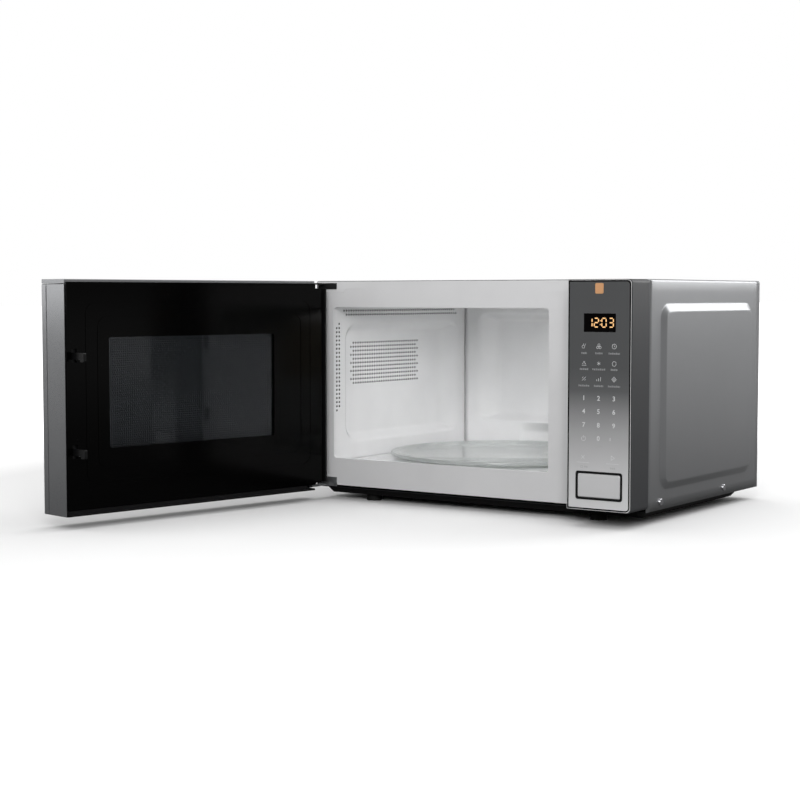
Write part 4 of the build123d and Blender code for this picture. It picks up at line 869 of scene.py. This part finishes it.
def caption_marks():
    """Rows of small rings and bars under the signs, in place of words."""
    widths = {201.1: (7.0, 9.6, 14.5), 182.7: (11.0, 16.5, 8.4), 163.7: (14.0, 12.0, 15.5)}
    runs = []
    for z, row in widths.items():
        for x, wide in zip(KEY_COLUMNS, row):
            runs.append((x, z, wide))
    runs.extend([(223.6, 103.0, 7.6), (203.4, 94.9, 4.2), (185.4, 70.4, 4.6), (219.6, 70.2, 6.4)])
    lines = []
    for x, z, wide in runs:
        count = max(2, int(round(wide / 1.25)))
        step = wide / count
        for k in range(count):
            middle = x - wide / 2 + step * (k + 0.5)
            tall = 1.05 if k % 4 == 0 else 0.65
            lines.append((
                [(middle - 0.32, z - 0.65), (middle + 0.32, z - 0.65), (middle + 0.32, z + tall),
                 (middle - 0.32, z + tall)], 0.32, k % 2 == 0))
    lines.append(ring_of(198.3, 94.9, 1.5, 0.35))
    lines.append(([(178.6, 69.2), (178.6, 71.6), (181.0, 71.6), (181.0, 69.2)], 0.35, True))
    return lines


def panel_border(shrink):
    """Outline of the panel face with rounded right-hand corners, in mm."""
    x0, x1, z0, z1, corner = 160.7 + shrink, 241.8 - shrink, 20.7 + shrink, 285.0 - shrink, 4.5
    low = arc(x1 - corner, z0 + corner, corner, -90, 0, 8)
    high = arc(x1 - corner, z1 - corner, corner, 0, 90, 8)
    return np.concatenate([[(x0, z0)], low, high, [(x0, z1)]])


def digit(text, x, z, size, level):
    """A printed numeral as a thin slab, made upright in the XZ plane round its middle."""
    half_slab = 0.00003
    curve = bpy.data.curves.new("numeral " + text, "FONT")
    curve.body = text
    curve.size = size * MM
    curve.extrude = half_slab
    curve.offset = 0.00014
    curve.align_x = "CENTER"
    curve.align_y = "CENTER"
    curve.resolution_u = 3
    holder = bpy.data.objects.new("numeral " + text, curve)
    scene.collection.objects.link(holder)
    bpy.context.view_layer.update()
    mesh = bpy.data.meshes.new_from_object(holder)
    bpy.data.objects.remove(holder)
    points = points_of(mesh)
    placed = np.stack([points[:, 0] + x * MM, level - points[:, 2] - half_slab, points[:, 1] + z * MM], 1)
    mesh.vertices.foreach_set("co", placed.astype(np.float32).ravel())
    mesh.update()
    put(f"numeral_{text}", mesh, "cabinet", print_ink, "panel_face")


def segments(character, x, z, width, tall, slim):
    """Seven-segment strokes of a numeral whose middle is at a place."""
    shown = {"0": "abcdef", "1": "bc", "2": "abged", "3": "abgcd"}[character]
    w, h = width / 2, tall / 2
    gap = slim * 0.62
    ends = {
        "a": ((-w + gap, h), (w - gap, h)), "b": ((w, h - gap), (w, gap)), "c": ((w, -gap), (w, -h + gap)),
        "d": ((-w + gap, -h), (w - gap, -h)), "e": ((-w, -gap), (-w, -h + gap)),
        "f": ((-w, h - gap), (-w, gap)), "g": ((-w + gap, 0.0), (w - gap, 0.0)),
    }
    return [([(x + p[0], z + p[1]), (x + q[0], z + q[1])], slim, False) for p, q in (ends[s] for s in shown)]


def clock_strokes():
    """The clock's numerals and its colon."""
    lines = []
    for character, x in (("1", 189.4), ("2", 197.6), ("0", 207.4), ("3", 216.6)):
        lines.extend(segments(character, x, 236.2, 5.4, 10.0, 1.25))
    for z in (234.0, 238.4):
        lines.append(([(202.1, z), (203.2, z)], 1.1, False))
    return lines


# ---- build every piece ------------------------------------------------------------------------------
slot_of = {part["node"]: part["material_slot"] for part in frame["record"]["subparts"]}
# millimetres by which edges are rounded
edges_of = {
    "panel_housing": 0.8, "panel_face": 0.35, "door_frame": 0.5, "door_bezel": 0.5, "release_button": 0.3,
    "button_frame": 0.3, "feet": 0.4, "lower_hinge": 0.25, "upper_hinge": 0.25,
}
made_here = {"outer_casing", "cavity_left_wall", "cavity_back_wall", "door_screen"}

wrap_piece()
left_wall_piece()
back_wall_piece()
screen_piece()
screen_pan()
for node_name in sorted(cad):
    if node_name not in made_here:
        dress(node_name, slot_of[node_name], edges_of.get(node_name, 0.0))

paint_outer_frame()
# the highest point of each spring along its axis is read, and each spring gets its own copy of its mesh
button_spring = bpy.data.objects["button_spring_look"]
latch_spring = bpy.data.objects["latch_spring_look"]
spring_base = [points_of(button_spring.data)[:, 1].max(), points_of(latch_spring.data)[:, 2].max()]
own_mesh(button_spring)
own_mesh(latch_spring)
strokes("frame_relief", [
    ([(-233.0, 271.8), (-196.0, 271.8), (-191.5, 276.3), (-169.8, 276.3)], 1.0, False),
    ([(102.0, 271.8), (134.0, 271.8), (159.0, 271.8)], 1.0, False),
], "cabinet", slots["frame_paint"], "frame_paint", FRONT, 0.0004)
strokes("key_signs", key_prints(), "cabinet", print_ink, "panel_face", PANEL_FRONT, 0.00005)
strokes("key_captions", caption_marks(), "cabinet", caption_ink, "panel_face", PANEL_FRONT, 0.00005)
# a dark line painted just inside the face's edge, as painted shade of the gap between the face and the
# housing
strokes("panel_border", [(panel_border(1.35), 1.7, True)], "cabinet", slots["display_black"], "display_black",
        PANEL_FRONT, 0.00004)
# a light line painted at the face's edge, as a painted highlight of the housing's rounded rim
strokes("panel_edge_painted_highlight", [(panel_border(0.2), 0.6, True)], "cabinet", slots["button_silver"], "button_silver",
        PANEL_FRONT, 0.00004)
strokes("clock", clock_strokes(), "cabinet", clock_glow, "display_black", PANEL_FRONT - 0.00022, 0.00005)
window = mesh_from("display window", [
    (x * MM, y, z * MM) for y in (PANEL_FRONT - 0.0002, PANEL_FRONT) for x, z in (
        (181.6, 225.5), (222.4, 225.5), (222.4, 246.7), (181.6, 246.7))
], [(0, 1, 2, 3), (7, 6, 5, 4), (0, 4, 5, 1), (1, 5, 6, 2), (2, 6, 7, 3), (3, 7, 4, 0)])
put("display_window", window, "cabinet", slots["display_black"], "display_black")
for row, line in enumerate(("123", "456", "789")):
    for text, x in zip(line, KEY_COLUMNS):
        digit(text, x, (149.5, 134.3, 118.7)[row], NUMERAL_SIZE, PANEL_FRONT)
digit("0", KEY_COLUMNS[1], 103.5, NUMERAL_SIZE, PANEL_FRONT)
digit("1", 216.2, 103.2, 4.6, PANEL_FRONT)


# ---- floor, lights and world ------------------------------------------------------------------------
def make_floor():
    """White studio floor that is dim near the oven and bright far off, as a lit sweep is.

    The camera sees it brighter than the oven's reflections do, so that only near shadows show.
    """
    mesh = mesh_from("floor", [(-30, -30, 0), (30, -30, 0), (30, 60, 0), (-30, 60, 0)], [(0, 1, 2, 3)])
    floor = bpy.data.objects.new("floor", mesh)
    scene.collection.objects.link(floor)
    material, tree, output = start("studio floor")
    reach = add(tree, "VectorMath", {"operation": "LENGTH"}, {0: place_of(tree)}).outputs["Value"]

    def sweep(paint, near, far, glow):
        """Diffuse floor with a glow that grows between two distances in metres."""
        plain = add(tree, "BsdfDiffuse", {}, {"Color": (paint, paint, paint, 1)})
        level = add(tree, "MapRange", {}, {"Value": reach, "From Min": near, "From Max": far, "To Max": glow})
        light = add(tree, "Emission", {}, {"Color": (1, 1, 1, 1), "Strength": level.outputs["Result"]})
        return add(tree, "AddShader", {}, {0: plain.outputs[0], 1: light.outputs[0]}).outputs[0]

    path = add(tree, "LightPath")
    mixed = add(tree, "MixShader", {}, {
        0: path.outputs["Is Camera Ray"], 1: sweep(0.16, 0.8, 4.0, 0.6), 2: sweep(0.92, 0.8, 1.5, 1.0)})
    tree.links.new(mixed.outputs[0], output.inputs["Surface"])
    mesh.materials.append(material)


def lamp(name, place, target, size, power):
    """Square soft box at a place, aimed at a target; size in metres, power in watts."""
    light = bpy.data.lights.new(name, "AREA")
    light.shape = "RECTANGLE"
    light.size = size
    light.size_y = size
    light.energy = power
    holder = bpy.data.objects.new(name, light)
    holder.location = place
    holder.visible_camera = False
    holder.rotation_euler = (Vector(target) - Vector(place)).to_track_quat("-Z", "Y").to_euler()
    scene.collection.objects.link(holder)


def make_world():
    """White to the camera; to the object a studio brighter above and in front than below and behind."""
    world = bpy.data.worlds.new("studio")
    scene.world = world
    world.use_nodes = True
    tree = world.node_tree
    tree.nodes.clear()
    output = add(tree, "OutputWorld")
    direction = add(tree, "TexCoord").outputs["Generated"]
    parts = add(tree, "SeparateXYZ", {}, {0: direction})
    sky = ramp(tree, add(tree, "MapRange", {}, {
        "Value": parts.outputs["Z"], "From Min": -0.1, "From Max": 1.0}).outputs["Result"],
        [(0.0, "#909090"), (0.25, "#B4B4B4"), (0.6, "#FFFFFF"), (1.0, "#FFFFFF")])
    path = add(tree, "LightPath")
    brightness = add(tree, "MapRange", {}, {
        "Value": parts.outputs["Y"], "From Min": -0.8, "From Max": 0.8, "To Min": 0.75, "To Max": 0.3})
    light = add(tree, "Background", {}, {"Color": sky, "Strength": brightness.outputs["Result"]})
    backdrop = add(tree, "Background", {}, {"Color": (1, 1, 1, 1), "Strength": 1.0})
    mixed = add(tree, "MixShader", {}, {
        0: path.outputs["Is Camera Ray"], 1: light.outputs[0], 2: backdrop.outputs[0]})
    tree.links.new(mixed.outputs[0], output.inputs["Surface"])


make_floor()
make_world()
lamp("top box", (0.0, 0.6, 2.2), (0.0, 0.0, 0.1), 2.4, 26)
lamp("rear right box", (0.85, 1.35, 0.8), (0.24, 0.05, 0.2), 0.9, 9)
lamp("right box", (0.95, -1.75, 0.85), (-0.1, -0.05, 0.12), 0.8, 19)
lamp("left box", (-1.0, -0.85, 0.46), (-0.3, -0.55, 0.2), 0.4, 1.0)
lamp("oven light", (-0.03, 0.03, 0.2515), (-0.06, 0.06, 0.0), 0.2, 0.42)
